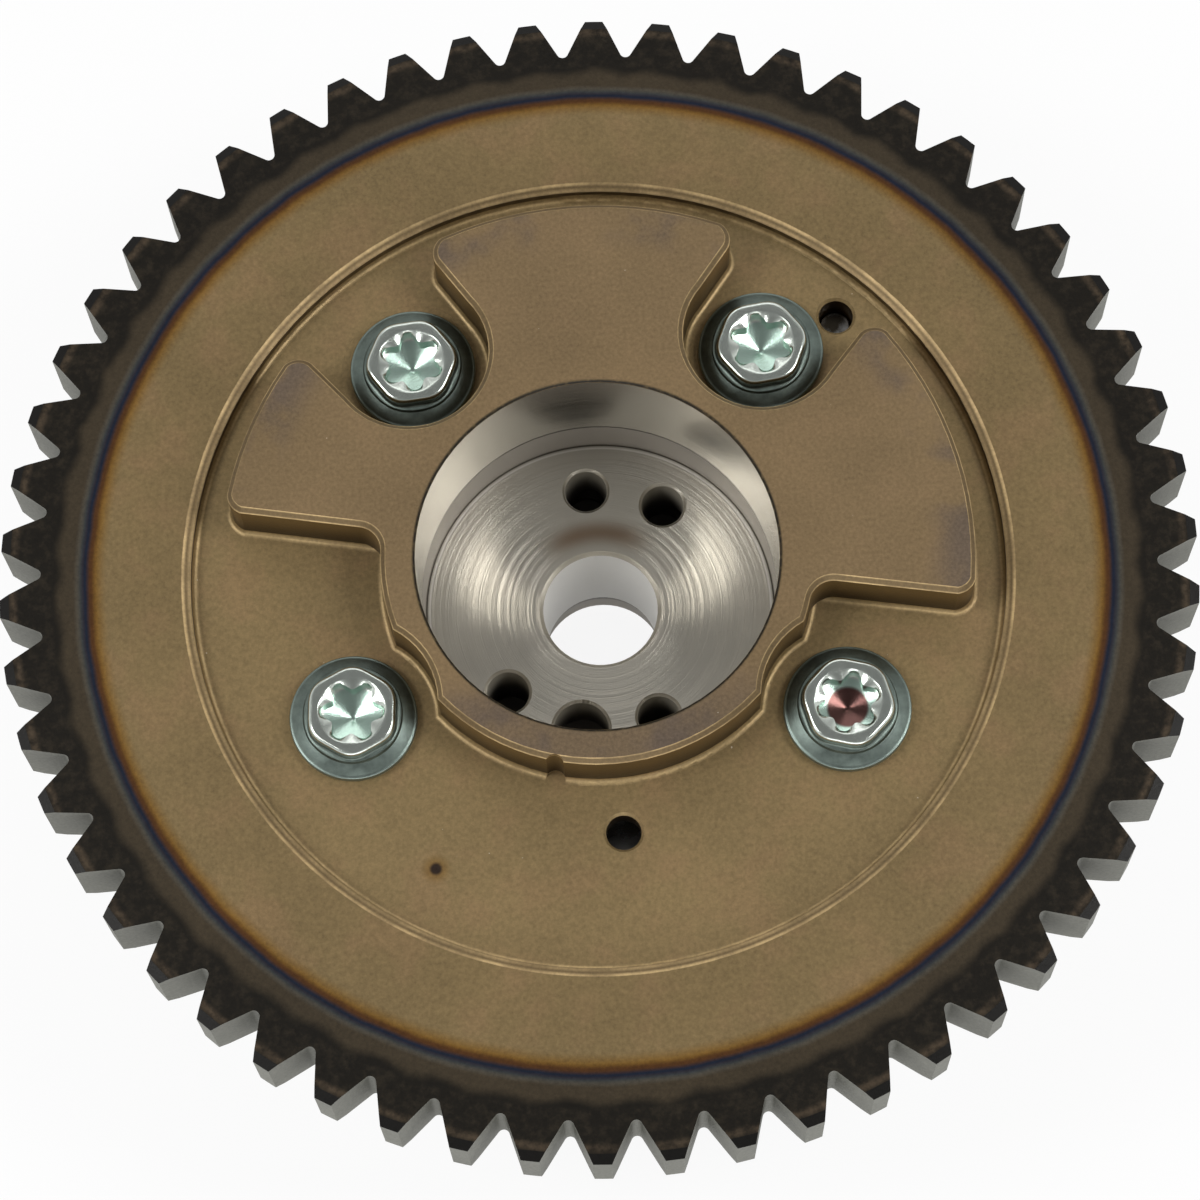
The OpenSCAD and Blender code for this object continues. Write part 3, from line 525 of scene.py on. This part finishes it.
class PHASER_OT_sprocket(bpy.types.Operator):
    """Finish the sprocket: steam-treated brown, heat line, dark rim, pale tooth flanks, bright bore"""
    bl_idname = "phaser.sprocket"
    bl_label = "Sprocket"

    def execute(self, context):
        look = context.scene.phaser_sprocket
        finish = Finish("steam treated brown", look.body)
        tree, r = finish.tree, finish.radius
        mouth, dark, bottom = in_mm(look, "mouth_radius", "dark_radius", "plate_bottom")
        grain = finish.grain(3.2, 0.85)
        turning = finish.turning(25.0, 0.12)
        self.wheel(look, finish)
        self.heat(look, finish)
        flank = both(tree, finish.wall, finish.rise(r, dark - 0.4, dark))
        finish.lay(look.flank, flank)
        finish.tone(grain["Tone"])
        bore = both(tree, finish.wall, finish.rise(r, mouth + 0.7, mouth + 0.4))
        finish.lay(tinted(tree, look.steel, turning["Tone"]), bore)
        # Painted shadow: the bore darkens at its foot, where it meets the rotor
        finish.lay(look.shaded_wall_foot, bore, finish.rise(finish.height, bottom + 0.35, bottom + 0.1))
        rough = calc(tree, "MULTIPLY_ADD", grain["Height"], 0.10, 0.36)
        normal = node(tree, "ShaderNodeMix", {
            0: bore, 4: finish.bump(grain["Height"], 0.012), 5: turning["Normal"]},
            data_type="VECTOR").outputs[1]
        finish.set(Roughness=mixed(tree, bore, mixed(tree, flank, rough, 0.6), 0.2),
                   Metallic=mixed(tree, bore, mixed(tree, flank, 0.45, 0.35), 1.0),
                   Normal=normal, Specular_IOR_Level=0.35)
        finish.give("sprocket")
        return {"FINISHED"}

    def wheel(self, look, finish):
        """Plate, recess and sensor wheel, with painted shade on the walls and thin painted highlights along
        the bevels and at the feet of the walls.
        """
        tree, r, z = finish.tree, finish.radius, finish.height
        top, chamfer, floor = in_mm(look, "wheel_top", "wheel_bevel", "recess_floor")
        recess, lip, mouth = in_mm(look, "recess_radius", "lip_width", "mouth_radius")
        smudge, hub_shade_start = in_mm(look, "smudge_radius", "hub_shade_start")
        bevel_foot, lip_edge = top - chamfer, recess + lip
        inside = both(tree, finish.rise(r, lip_edge + 0.3, lip_edge),
                      finish.rise(r, mouth + 0.4, mouth + 0.7))
        slanted = both(tree, inside, calc(tree, "SUBTRACT", 1.0, finish.level))
        wheel_top = both(tree, finish.top, finish.rise(z, top - 1.0, top - 0.4))

        # Painted light: the recess floor is laid lighter, against the shade in the recess
        finish.lay(look.recess, inside, finish.rise(z, floor + 0.8, floor + 0.4))
        finish.lay(look.blotch, finish.rise(finish.noise(0.22, 3.0), 0.45, 0.7), 0.25)
        finish.lay(look.lobe, wheel_top, 0.8)
        rubbed = finish.rise(finish.noise(0.16, 3.0), 0.42, 0.62)
        finish.lay(look.smudge, wheel_top, finish.rise(r, smudge - 2.0, smudge + 2.0), rubbed, 0.75)
        # Painted shade: the tops of the wheel are darkened on their lower side, below the axis
        finish.lay(look.smudge, wheel_top, finish.rise(finish.along_y, 2.5 - hub_shade_start, -2.5 - hub_shade_start),
                   spread(tree, rubbed, 0.4, 0.85))

        # Painted shade: the walls darken from their top towards their foot
        depth = blend(tree, finish.rise(z, floor + 0.2, bevel_foot), look.shaded_wall_foot, look.shaded_wall_top)
        finish.lay(depth, finish.wall, inside)
        raised = both(tree, slanted, finish.rise(z, bevel_foot - 0.3, bevel_foot - 0.2))
        finish.lay(look.bevel, finish.bevel, raised)
        # Painted highlights: light lines along the bevels of the wheel and round the lip of the recess,
        # broken up by noise
        highlight_breaks = spread(tree, finish.rise(finish.noise(0.3, 3.0), 0.35, 0.65), 0.45, 1.0)
        for level in (top, bevel_foot):
            finish.lay(look.edge, raised, finish.line(z, level, 0.13), highlight_breaks)
        lower = both(tree, slanted, finish.rise(z, top - 2.0, top - 2.4))
        band = both(tree, lower, finish.rise(r, recess - 0.05, recess + 0.05))
        finish.lay(look.bevel, band, 0.8)
        for place, strength in ((lip_edge - 0.12, 0.85), (recess + 0.15, 0.4)):
            finish.lay(look.edge, band, finish.line(r, place, 0.28), highlight_breaks, strength)
        # Painted highlights: thin light lines on the floor at the feet of the walls of the wheel and the
        # recess
        wheel_foot_highlight = both(tree, finish.line(z, floor + 0.09, 0.09),
                          finish.rise(r, recess - 0.9, recess - 1.2))
        recess_foot_highlight = both(tree, finish.line(r, recess - 0.33, 0.2),
                           finish.rise(z, floor + 0.5, floor + 0.3))
        for foot in (wheel_foot_highlight, recess_foot_highlight):
            finish.lay(look.edge, foot, inside, highlight_breaks, 0.75)

        burr = spread(tree, finish.rise(finish.noise(2.2), 0.3, 0.5), 0.75, 1.0)
        finish.lay(look.tip, finish.line(r, mouth + 0.1, 0.26), finish.rise(z, top - 0.9, top - 0.4), burr)

        spot = vector(tree, "DISTANCE", finish.place, (look.spot[0] * MM, look.spot[1] * MM, floor))
        finish.lay(look.amber, finish.rise(spot, 1.6, 0.5), 0.6)
        finish.lay(look.burn, finish.rise(spot, 0.75, 0.35))
        finish.lay(look.speck, finish.rise(finish.noise(1.7, 1.0), 0.80, 0.84), inside, finish.level)

    def heat(self, look, finish):
        """Heat colours round the plate and the dark teeth outside them."""
        tree, r = finish.tree, finish.radius
        heat, dark, tip, plate = in_mm(look, "heat_radius", "dark_radius", "tip_radius", "plate_top")
        flat = both(tree, finish.level, finish.rise(finish.height, plate + 1.0, plate + 0.5))
        ripple = calc(tree, "SUBTRACT", finish.noise(0.35), 0.5)
        wander = calc(tree, "MULTIPLY_ADD", ripple, 0.3, r)
        finish.lay(look.amber, finish.rise(wander, heat - 2.1, heat - 0.7), flat)
        finish.lay(look.ember, finish.rise(wander, heat - 1.1, heat - 0.5), flat)
        lying = calc(tree, "SUBTRACT", 1.0, finish.rise(finish.wall, 0.3, 0.6))
        finish.lay(look.rim, finish.rise(wander, heat + 0.1, heat + 0.5), lying)
        for paint, offset, width, strength in (
                (look.teal, 0.35, 0.5, 0.55), (look.blue, 0.03, 0.52, 1.0), (look.pale, 0.75, 0.4, 0.22)):
            finish.lay(paint, finish.line(wander, heat + offset, width), flat, strength)

        scallop = calc(tree, "COSINE", calc(tree, "MULTIPLY", finish.angle, float(look.teeth)))
        reach = calc(tree, "ADD", calc(tree, "MULTIPLY_ADD", scallop, -0.22, r),
                     calc(tree, "MULTIPLY", finish.noise(0.5), 0.9))
        finish.lay(look.tooth, finish.rise(reach, dark, dark + 1.2), flat)
        streak = finish.noise(1.1, 4.0, 0.6)
        teeth = both(tree, finish.rise(r, dark + 0.5, dark + 1.0), flat)
        finish.lay(look.scuff, teeth, finish.rise(streak, 0.4, 0.75), 0.45)
        # Partly rub and partly painted sheen along the tips of the teeth
        finish.lay(look.rub_and_sheen, finish.line(r, tip - 0.4, 0.6), flat, finish.rise(streak, 0.2, 0.7), 0.6)
        finish.lay(look.tip, finish.bevel, finish.rise(r, tip - 0.3, tip))


class PHASER_OT_rotor(bpy.types.Operator):
    """Finish the rotor: bright turned steel with a dull bolt bore"""
    bl_idname = "phaser.rotor"
    bl_label = "Rotor"

    def execute(self, context):
        look = context.scene.phaser_rotor
        finish = Finish("bright turned steel", look.steel)
        tree, r, z = finish.tree, finish.radius, finish.height
        floor, nose, limit, arc = in_mm(look, "floor_height", "seat_radius", "bore_limit", "arc_radius")
        relief_r, relief_end, drill_end = in_mm(look, "relief_radius", "relief_end", "drill_end")
        turning = finish.turning(look.lines, look.lean)
        stain = finish.noise(0.16, 3.0)
        finish.tone(turning["Tone"])
        finish.lay(look.stain, finish.rise(stain, 0.5, 0.75), 0.25)
        side = finish.rise(calc(tree, "DIVIDE", finish.along_y, r), 0.7, 0.98)
        on_floor = finish.rise(z, floor - 1.8, floor - 0.8)
        finish.lay(look.warm, finish.line(r, arc, 1.9), finish.top, side, on_floor, 0.75)

        bore = both(tree, finish.wall, finish.rise(r, limit + 0.2, limit - 0.2))
        finish.lay(look.bore, bore)
        shadow = blend(tree, finish.rise(z, relief_end - 1.1, relief_end), look.seat, look.hole)
        finish.lay(shadow, bore, finish.rise(r, relief_r - 0.3, relief_r - 0.2))
        drilled = both(tree, finish.rise(r, limit, limit + 0.4), finish.rise(r, nose - 0.1, nose - 0.3),
                       finish.rise(z, floor - 0.1, floor - 0.4), finish.rise(z, drill_end, drill_end + 3.0))
        # Painted shade: the oil holes darken with depth
        depth = blend(tree, finish.rise(z, floor - 5.3, floor - 0.8), look.hole, look.drilled)
        finish.lay(depth, drilled)

        seat = both(tree, finish.wall, finish.line(r, nose, 0.3), finish.rise(z, floor - 0.3, floor))
        finish.lay(look.seat, seat)
        foot = both(tree, finish.top, finish.rise(z, floor - 0.3, floor - 0.1))
        # Painted shadow: a dark line at the foot of the seat, with a painted glint beside it
        finish.lay(look.hole, foot, finish.line(r, nose - 0.15, 0.16))
        finish.lay(look.glint, foot, finish.line(r, nose - 0.45, 0.16), 0.6)

        dull = calc(tree, "MAXIMUM", calc(tree, "MAXIMUM", bore, drilled), both(tree, seat, 0.6))
        finish.set(Metallic=mixed(tree, dull, 1.0, 0.2), Normal=turning["Normal"],
                   Roughness=mixed(tree, dull, calc(tree, "MULTIPLY_ADD", stain, 0.12, 0.26), 0.6))
        finish.give("rotor")
        return {"FINISHED"}


class PHASER_OT_housing(bpy.types.Operator):
    """Finish the stator housing: grey sintered iron with drawn lines on its walls"""
    bl_idname = "phaser.housing"
    bl_label = "Stator housing"

    def execute(self, context):
        look = context.scene.phaser_housing
        finish = Finish("grey sintered iron", look.sintered)
        tree = finish.tree
        grain = finish.grain(2.6, 0.22)
        drawn = finish.noise(1.4, drawn=0.08)
        finish.tone(grain["Tone"])
        finish.lay(look.drawn, finish.wall, finish.rise(drawn, 0.45, 0.8), 0.7)
        finish.lay(look.pore, grain["Pores"])
        finish.set(Metallic=0.85, Roughness=calc(tree, "MULTIPLY_ADD", grain["Height"], 0.16, 0.34),
                   Normal=finish.bump(calc(tree, "ADD", grain["Height"], drawn), 0.02))
        finish.give("stator_housing")
        return {"FINISHED"}


class PHASER_OT_cover(bpy.types.Operator):
    """Finish the front cover: turned steel with faint oil stains"""
    bl_idname = "phaser.cover"
    bl_label = "Front cover"

    def execute(self, context):
        look = context.scene.phaser_housing
        finish = Finish("turned cover steel", look.cover)
        turning = finish.turning(5.0, 0.10)
        stain = finish.noise(0.09, 4.0, 0.6)
        finish.tone(turning["Tone"])
        finish.lay(look.stain, finish.rise(stain, 0.48, 0.7), 0.4)
        finish.lay(look.bevel, finish.bevel)
        finish.set(Metallic=0.95, Roughness=calc(finish.tree, "MULTIPLY_ADD", stain, 0.22, 0.24),
                   Normal=turning["Normal"])
        finish.give("front_cover")
        return {"FINISHED"}


class PHASER_OT_pins(bpy.types.Operator):
    """Finish the lock pin, its plug and bush and the dowel pin: ground steel"""
    bl_idname = "phaser.pins"
    bl_label = "Pins, plug and bush"

    def execute(self, context):
        look = context.scene.phaser_small
        for name in ("lock_pin", "lock_plug", "lock_bush", "dowel_pin"):
            low, high = (np.array(corner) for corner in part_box(name))
            centre = (low + high) / 2.0
            finish = Finish("ground steel " + name, look.ground, (float(centre[0]), float(centre[1]), 0.0))
            turning = finish.turning(14.0, 0.06)
            stain = finish.noise(0.5, 3.0)
            finish.tone(turning["Tone"])
            finish.lay(look.stain, finish.rise(stain, 0.55, 0.8))
            if name == "dowel_pin":
                # Darker steel over most of the dowel pin
                finish.lay(look.darkened, finish.rise(stain, 0.2, 0.5))
            finish.set(Metallic=1.0, Roughness=calc(finish.tree, "MULTIPLY_ADD", stain, 0.2, 0.18),
                       Normal=turning["Normal"])
            finish.give(name)
        return {"FINISHED"}


class PHASER_OT_springs(bpy.types.Operator):
    """Finish the coil and leaf springs: blued spring steel"""
    bl_idname = "phaser.springs"
    bl_label = "Springs"

    def execute(self, context):
        look = context.scene.phaser_small
        finish = Finish("blued spring steel", look.spring)
        drawn = finish.noise(3.0, 3.0, drawn=0.15)
        finish.lay(look.straw, finish.rise(finish.noise(0.35), 0.35, 0.7))
        finish.tone(spread(finish.tree, drawn, 0.8, 1.15))
        finish.set(Metallic=1.0, Roughness=spread(finish.tree, drawn, 0.22, 0.42),
                   Normal=finish.bump(drawn, 0.006))
        finish.give("lock_spring", *nodes_like("vane_spring"), *nodes_like("web_spring"))
        return {"FINISHED"}


class PHASER_OT_seals(bpy.types.Operator):
    """Finish the seal strips: dark filled polymer"""
    bl_idname = "phaser.seals"
    bl_label = "Seal strips"

    def execute(self, context):
        look = context.scene.phaser_small
        finish = Finish("filled seal polymer", look.seal)
        grain = finish.grain(4.0, 0.3)
        fibres = finish.noise(5.0, 1.0, drawn=0.12)
        finish.tone(grain["Tone"])
        finish.lay(look.fibre, finish.rise(fibres, 0.66, 0.74))
        finish.set(Metallic=0.0, Roughness=spread(finish.tree, fibres, 0.42, 0.62),
                   Normal=finish.bump(grain["Height"], 0.008))
        finish.give(*nodes_like("vane_seal"), *nodes_like("web_seal"))
        return {"FINISHED"}


# Flange screws


def lobes(turn, tip, hollow, reach):
    """Outline of a six-lobe shape over the angles in turn, as a share of its tip radius. It goes from
    1 at a tip down to 1 - hollow between two tips. A larger reach makes the lobes rounder."""
    wave = 0.5 - 0.5 * np.cos(6.0 * (turn - tip))
    return 1.0 - hollow * wave ** reach


def screw_rows(shape):
    """Profile of a flange screw from the middle of its drive to the middle of its end.

    Each row is radius, height over the plate, share of the drive outline, share of the head outline,
    thread depth, and 1 on the cone under the drive. The rows follow that cone, the wall of the drive,
    the countersink, the rounded head, the domed flange, the shank and its thread. Returns an array
    with one row for each station.
    """
    head, top, drive = shape.head_radius, shape.head_height, shape.drive_radius
    rim, rim_top, foot = shape.flange_radius, shape.flange_rim, shape.flange_height
    shank, pitch = shape.shank_radius, shape.thread_pitch
    floor = top - shape.drive_depth
    # Rounded edge of the head, fillet at its foot, rounded rim of the flange and sag of its dome
    edge, fillet, lip, sag = 0.00042, 0.00028, 0.00018, 0.00012
    # Depth of the countersink, length of the bevelled end and step between two stretches
    sink, point, gap = 0.00045, 0.0005, 0.0001
    arc = np.linspace(0.0, math.pi / 2.0, 7)[1:]
    rows = []

    def add(radius, height, in_drive=0.0, in_head=0.0, thread=0.0, cone=0.0):
        columns = np.broadcast_arrays(*(np.atleast_1d(np.asarray(part, float))
                                        for part in (radius, height, in_drive, in_head, thread, cone)))
        rows.append(np.stack(columns, axis=1))

    # Cone, wall and countersink of the drive
    add(np.linspace(0.05, 1.0, 12) * drive, floor, in_drive=1.0, cone=1.0)
    add(drive, np.linspace(floor + gap, top - sink, 5), in_drive=1.0)
    add(drive + np.array([0.0, 0.0001, 0.00022]), top - np.array([0.00036, 0.0002, 0.00005]),
        in_drive=[1.0, 0.55, 0.1])
    # Top, rounded edge, side and foot of the head
    add(np.linspace(drive + 0.0003, head - edge, 4), top, in_head=[0.0, 0.3, 0.7, 1.0])
    add(head - edge + edge * np.sin(arc), top - edge + edge * np.cos(arc), in_head=1.0)
    add(head, np.linspace(top - edge - gap, foot + fillet, 3), in_head=1.0)
    add(head + fillet - fillet * np.cos(arc), foot + fillet - fillet * np.sin(arc),
        in_head=np.linspace(1.0, 0.25, len(arc)))
    # Dome of the flange, part of a ball through the foot of the head and the rim
    centre = (rim_top + foot) / 2.0 - (rim ** 2 - head ** 2) / (2.0 * (foot - rim_top))
    ball = math.hypot(rim, rim_top - centre)
    dome = np.linspace(head + fillet + gap, rim - lip, 9)
    add(dome, centre + np.sqrt(ball ** 2 - dome ** 2) - sag, in_head=np.linspace(0.15, 0.0, len(dome)))
    # Rounded rim, its bevel and the underside
    last = rows[-1][-1, 1]
    add(rim - lip + lip * np.sin(arc), last - lip + lip * np.cos(arc))
    add(rim, [0.0005, 0.00025])
    add(rim - np.array([0.00003, 0.00012]), [0.00009, 0.0])
    add(np.linspace(rim - 0.0004, shank, 4), 0.0)
    # Shank, thread and bevelled end
    low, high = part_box(SCREWS[0])
    end = low[2] - (high[2] - top)
    start = end + shape.thread_length
    add(shank, np.linspace(-0.0002, start, 6))
    steps = int(round((start - end - point) / pitch * 8.0))
    run = np.linspace(start, end + point, steps)
    add(shank, run, thread=np.clip((start - run) / pitch, 0.0, 1.0))
    add(shank - np.array([0.0002, point]), end + np.array([0.0002, 0.0]), thread=[0.5, 0.0])
    add(np.linspace(shank - 0.0007, 0.0003, 4), end)
    return np.concatenate(rows)


def screw_surface(shape, turn, around=144):
    """Points of a screw on a grid of profile stations and angles, in the screw's own frame.

    The radius at a station is its profile radius times the drive or the head outline, as far as that
    row takes part in it, less the thread: a triangle wave of height over pitch minus angle. On the
    cone the height falls in proportion to how far the radius is inside the drive radius.
    """
    rows = screw_rows(shape)
    radius, height, in_drive, in_head, thread, cone = (rows[:, [column]] for column in range(6))
    angles = np.arange(around) * (2.0 * math.pi / around)
    drive = lobes(angles, turn, shape.drive_hollow, shape.drive_swell)
    head = lobes(angles, turn + math.pi / 6.0, shape.scoop / shape.head_radius, 1.0)
    outline = 1.0 + in_drive * (drive - 1.0) + in_head * (head - 1.0)
    wave = np.abs(2.0 * ((height / shape.thread_pitch - angles / (2.0 * math.pi)) % 1.0) - 1.0)
    reach = radius * outline - thread * shape.thread_depth * wave
    fall = cone * shape.cone_depth * (1.0 - reach / shape.drive_radius)
    return np.stack([reach * np.cos(angles), reach * np.sin(angles), height - fall], axis=2)


def closed_mesh(name, grid):
    """A mesh of a grid of rings that is closed round each ring and has a pole at each end.
    Quads join ring to ring, and a fan of triangles joins the first and last ring to its pole."""
    rings, around = grid.shape[:2]
    poles = np.array([grid[0].mean(axis=0), grid[-1].mean(axis=0)])
    points = np.concatenate([grid.reshape(-1, 3), poles])
    index = np.arange(rings * around).reshape(rings, around)
    turned = np.roll(index, -1, axis=1)
    quads = np.stack([index[:-1], index[1:], turned[1:], turned[:-1]], axis=2).reshape(-1, 4)
    first = np.stack([np.full(around, rings * around), index[0], turned[0]], axis=1)
    last = np.stack([np.full(around, rings * around + 1), turned[-1], index[-1]], axis=1)
    mesh = bpy.data.meshes.new(name)
    mesh.from_pydata(points.tolist(), [], quads.tolist() + first.tolist() + last.tolist())
    mesh.polygons.foreach_set("use_smooth", np.ones(len(mesh.polygons), dtype=bool))
    mesh.set_sharp_from_angle(angle=SHARP_ANGLE)
    mesh.update()
    return mesh


class PHASER_OT_screws(bpy.types.Operator):
    """Build the four flange screws with lobed heads, domed flanges and threads, and plate them"""
    bl_idname = "phaser.screws"
    bl_label = "Flange screws"

    # Angle of each drive in degrees, and the screw with residue in its drive
    turns = (37.0, 35.0, 56.0, 14.0)
    stained = SCREWS[3]

    def execute(self, context):
        look = context.scene.phaser_screws
        for name, degrees in zip(SCREWS, self.turns):
            low, high = (np.array(corner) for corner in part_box(name))
            centre = (low + high) / 2.0
            centre[2] = high[2] - look.head_height
            grid = screw_surface(look, math.radians(degrees)) + centre
            piece = bpy.data.objects.new("flange_" + name, closed_mesh("flange_" + name, grid))
            context.scene.collection.objects.link(piece)
            piece.data.materials.append(self.plating(look, name, centre))
            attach(piece, "housing")
            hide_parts(name)
        return {"FINISHED"}

    def plating(self, look, name, centre):
        """Bright zinc head on a dark flange, with a painted highlight round the rim and blotches in the
        plating.
        """
        finish = Finish("zinc plating " + name, look.zinc, tuple(float(part) for part in centre))
        tree, r, z = finish.tree, finish.radius, finish.height
        rim, head, drive = in_mm(look, "flange_radius", "head_radius", "drive_radius")
        foot, top = in_mm(look, "flange_height", "head_height")
        cloud = finish.noise(0.9, 4.0, 0.6)
        fine = finish.noise(5.0, 3.0, 0.6)
        finish.tone(spread(tree, cloud, 0.84, 1.12))
        above = finish.rise(z, -1.0, 0.0)
        finish.lay(look.pit, finish.rise(r, drive - 0.05, drive - 0.3),
                   finish.rise(z, top - 0.3, top - 0.6), above, 0.6)
        flange = both(tree, finish.rise(z, foot + 0.4, foot + 0.15), finish.rise(r, head - 0.8, head - 0.5))
        finish.lay(tinted(tree, look.flange, spread(tree, cloud, 0.45, 1.5)), flange)
        # Painted highlight: a pale line round the flange rim, broken up by noise
        finish.lay(look.rim, finish.line(r, rim - 0.02, 0.25), spread(tree, fine, 0.3, 1.2))
        if name == self.stained:
            finish.lay(look.residue, finish.rise(r, drive - 0.7, drive - 1.1),
                       finish.rise(z, top - 0.8, top - 1.2), above)
        rough = mixed(tree, flange, spread(tree, fine, 0.14, 0.3), spread(tree, cloud, 0.34, 0.48))
        finish.set(Metallic=1.0, Roughness=rough, Normal=finish.bump(fine, 0.008))
        return finish.material


# Stage


class PHASER_OT_stage(bpy.types.Operator):
    """Set the camera, the soft lights, the world and the white floor"""
    bl_idname = "phaser.stage"
    bl_label = "Stage"

    def execute(self, context):
        stage = context.scene.phaser_stage
        context.scene.view_settings.view_transform = "Standard"
        self.camera(context.scene, stage)
        self.lights(context.scene, stage)
        self.world(context.scene, stage)
        self.floor(context.scene, stage)
        return {"FINISHED"}

    def camera(self, scene, stage):
        """View turned by tilt, then pan, then roll, and moved back by the distance."""
        def plane(first, second, amount):
            """A turn by an amount from the first axis towards the second."""
            made = np.eye(3)
            made[first, first] = made[second, second] = math.cos(amount)
            made[first, second], made[second, first] = math.sin(amount), -math.sin(amount)
            return made
        view = (plane(1, 0, stage.roll) @ plane(0, 2, stage.pan) @ plane(1, 2, stage.tilt)
                @ plane(1, 0, stage.turn))
        place = view.T @ np.array([-stage.shift_right, -stage.shift_up, stage.distance])
        matrix = np.eye(4)
        matrix[:3, :3] = view.T
        matrix[:3, 3] = place + np.array([0.0, 0.0, stage.plate_height])
        lens = bpy.data.cameras.new("camera")
        lens.sensor_width = 36.0
        lens.lens = stage.lens
        lens.clip_start = 0.01
        camera = bpy.data.objects.new("camera", lens)
        camera.matrix_world = Matrix(matrix.tolist())
        scene.collection.objects.link(camera)
        scene.camera = camera

    def lights(self, scene, stage):
        """One soft light on each side, one low at the front and a weak one behind, all facing the part."""
        aim = np.array([0.0, 0.0, 0.03])
        side_size = (0.17, 0.2)
        for name, place, size, power in (
                ("left light", (-0.33, -0.04, 0.44), side_size, stage.side_power),
                ("right light", (0.33, -0.04, 0.44), side_size, stage.side_power),
                ("front light", (0.0, -0.5, 0.16), (0.5, 0.18), stage.front_power),
                ("back light", (0.0, 0.42, 0.42), (0.4, 0.2), stage.back_power)):
            lamp = bpy.data.lights.new(name, "AREA")
            lamp.shape = "RECTANGLE"
            lamp.size, lamp.size_y = size
            lamp.energy = power
            made = bpy.data.objects.new(name, lamp)
            back = np.array(place) - aim
            back /= np.linalg.norm(back)
            right = np.cross([0.0, 0.0, 1.0], back)
            right /= np.linalg.norm(right)
            matrix = np.eye(4)
            matrix[:3, :3] = np.stack([right, np.cross(back, right), back], axis=1)
            matrix[:3, 3] = place
            made.matrix_world = Matrix(matrix.tolist())
            scene.collection.objects.link(made)

    def world(self, scene, stage):
        """A white world that is bright at the horizon and softer overhead."""
        world = bpy.data.worlds.new("studio")
        world.use_nodes = True
        tree = world.node_tree
        way = tree.nodes.new("ShaderNodeTexCoord").outputs["Generated"]
        up = node(tree, "ShaderNodeSeparateXYZ", {0: way}).outputs["Z"]
        strength = mixed(tree, rise(tree, up, 0.15, 0.95), stage.world_low, stage.world_high)
        tree.links.new(strength, tree.nodes["Background"].inputs["Strength"])
        tree.nodes["Background"].inputs["Color"].default_value = (1.0, 1.0, 1.0, 1.0)
        scene.world = world

    def floor(self, scene, stage):
        """A wide floor that shows white to the camera and to reflections, with a faint shadow, and is clear
        from below."""
        half, low = 3.0, -0.0001
        mesh = bpy.data.meshes.new("floor")
        mesh.from_pydata([(-half, -half, low), (half, -half, low), (half, half, low), (-half, half, low)],
                         [], [(0, 1, 2, 3)])
        floor = bpy.data.objects.new("floor", mesh)
        scene.collection.objects.link(floor)
        material = bpy.data.materials.new("white floor")
        material.use_nodes = True
        tree = material.node_tree
        tree.nodes.clear()
        path = tree.nodes.new("ShaderNodeLightPath").outputs
        seen = calc(tree, "MAXIMUM", path["Is Camera Ray"],
                    calc(tree, "MAXIMUM", path["Is Glossy Ray"], path["Is Transmission Ray"]))
        paper = node(tree, "ShaderNodeBsdfDiffuse", {"Color": (0.86, 0.86, 0.86, 1.0)})
        white = node(tree, "ShaderNodeEmission", {"Color": (1.0, 1.0, 1.0, 1.0), "Strength": 1.0})
        mix = node(tree, "ShaderNodeMixShader", {
            0: calc(tree, "MULTIPLY", seen, stage.floor_white), 1: paper.outputs[0], 2: white.outputs[0]})
        clear = tree.nodes.new("ShaderNodeBsdfTransparent").outputs[0]
        behind = tree.nodes.new("ShaderNodeNewGeometry").outputs["Backfacing"]
        shown = node(tree, "ShaderNodeMixShader", {0: behind, 1: mix.outputs[0], 2: clear}).outputs[0]
        node(tree, "ShaderNodeOutputMaterial", {"Surface": shown})
        mesh.materials.append(material)


STEPS = ("sprocket", "rotor", "housing", "cover", "pins", "springs", "seals", "screws", "stage")


class PHASER_PT_panel(bpy.types.Panel):
    """Sidebar panel with one button for each step"""
    bl_idname = "PHASER_PT_panel"
    bl_label = "Cam phaser"
    bl_space_type = "VIEW_3D"
    bl_region_type = "UI"
    bl_category = "Cam phaser"

    def draw(self, context):
        for step in STEPS:
            self.layout.operator("phaser." + step)


GROUPS = {
    "phaser_sprocket": SprocketFinish,
    "phaser_rotor": RotorFinish,
    "phaser_housing": HousingFinish,
    "phaser_small": SmallPartsFinish,
    "phaser_screws": ScrewFinish,
    "phaser_stage": StageSettings,
}
CLASSES = (
    *GROUPS.values(), PHASER_OT_sprocket, PHASER_OT_rotor, PHASER_OT_housing, PHASER_OT_cover, PHASER_OT_pins,
    PHASER_OT_springs, PHASER_OT_seals, PHASER_OT_screws, PHASER_OT_stage, PHASER_PT_panel)


def register():
    for made in CLASSES:
        bpy.utils.register_class(made)
    for name, made in GROUPS.items():
        setattr(bpy.types.Scene, name, bpy.props.PointerProperty(type=made))


def unregister():
    for name in GROUPS:
        delattr(bpy.types.Scene, name)
    for made in reversed(CLASSES):
        bpy.utils.unregister_class(made)


def main():
    register()
    for step in STEPS:
        getattr(bpy.ops.phaser, step)()


if __name__ == "__main__":
    main()
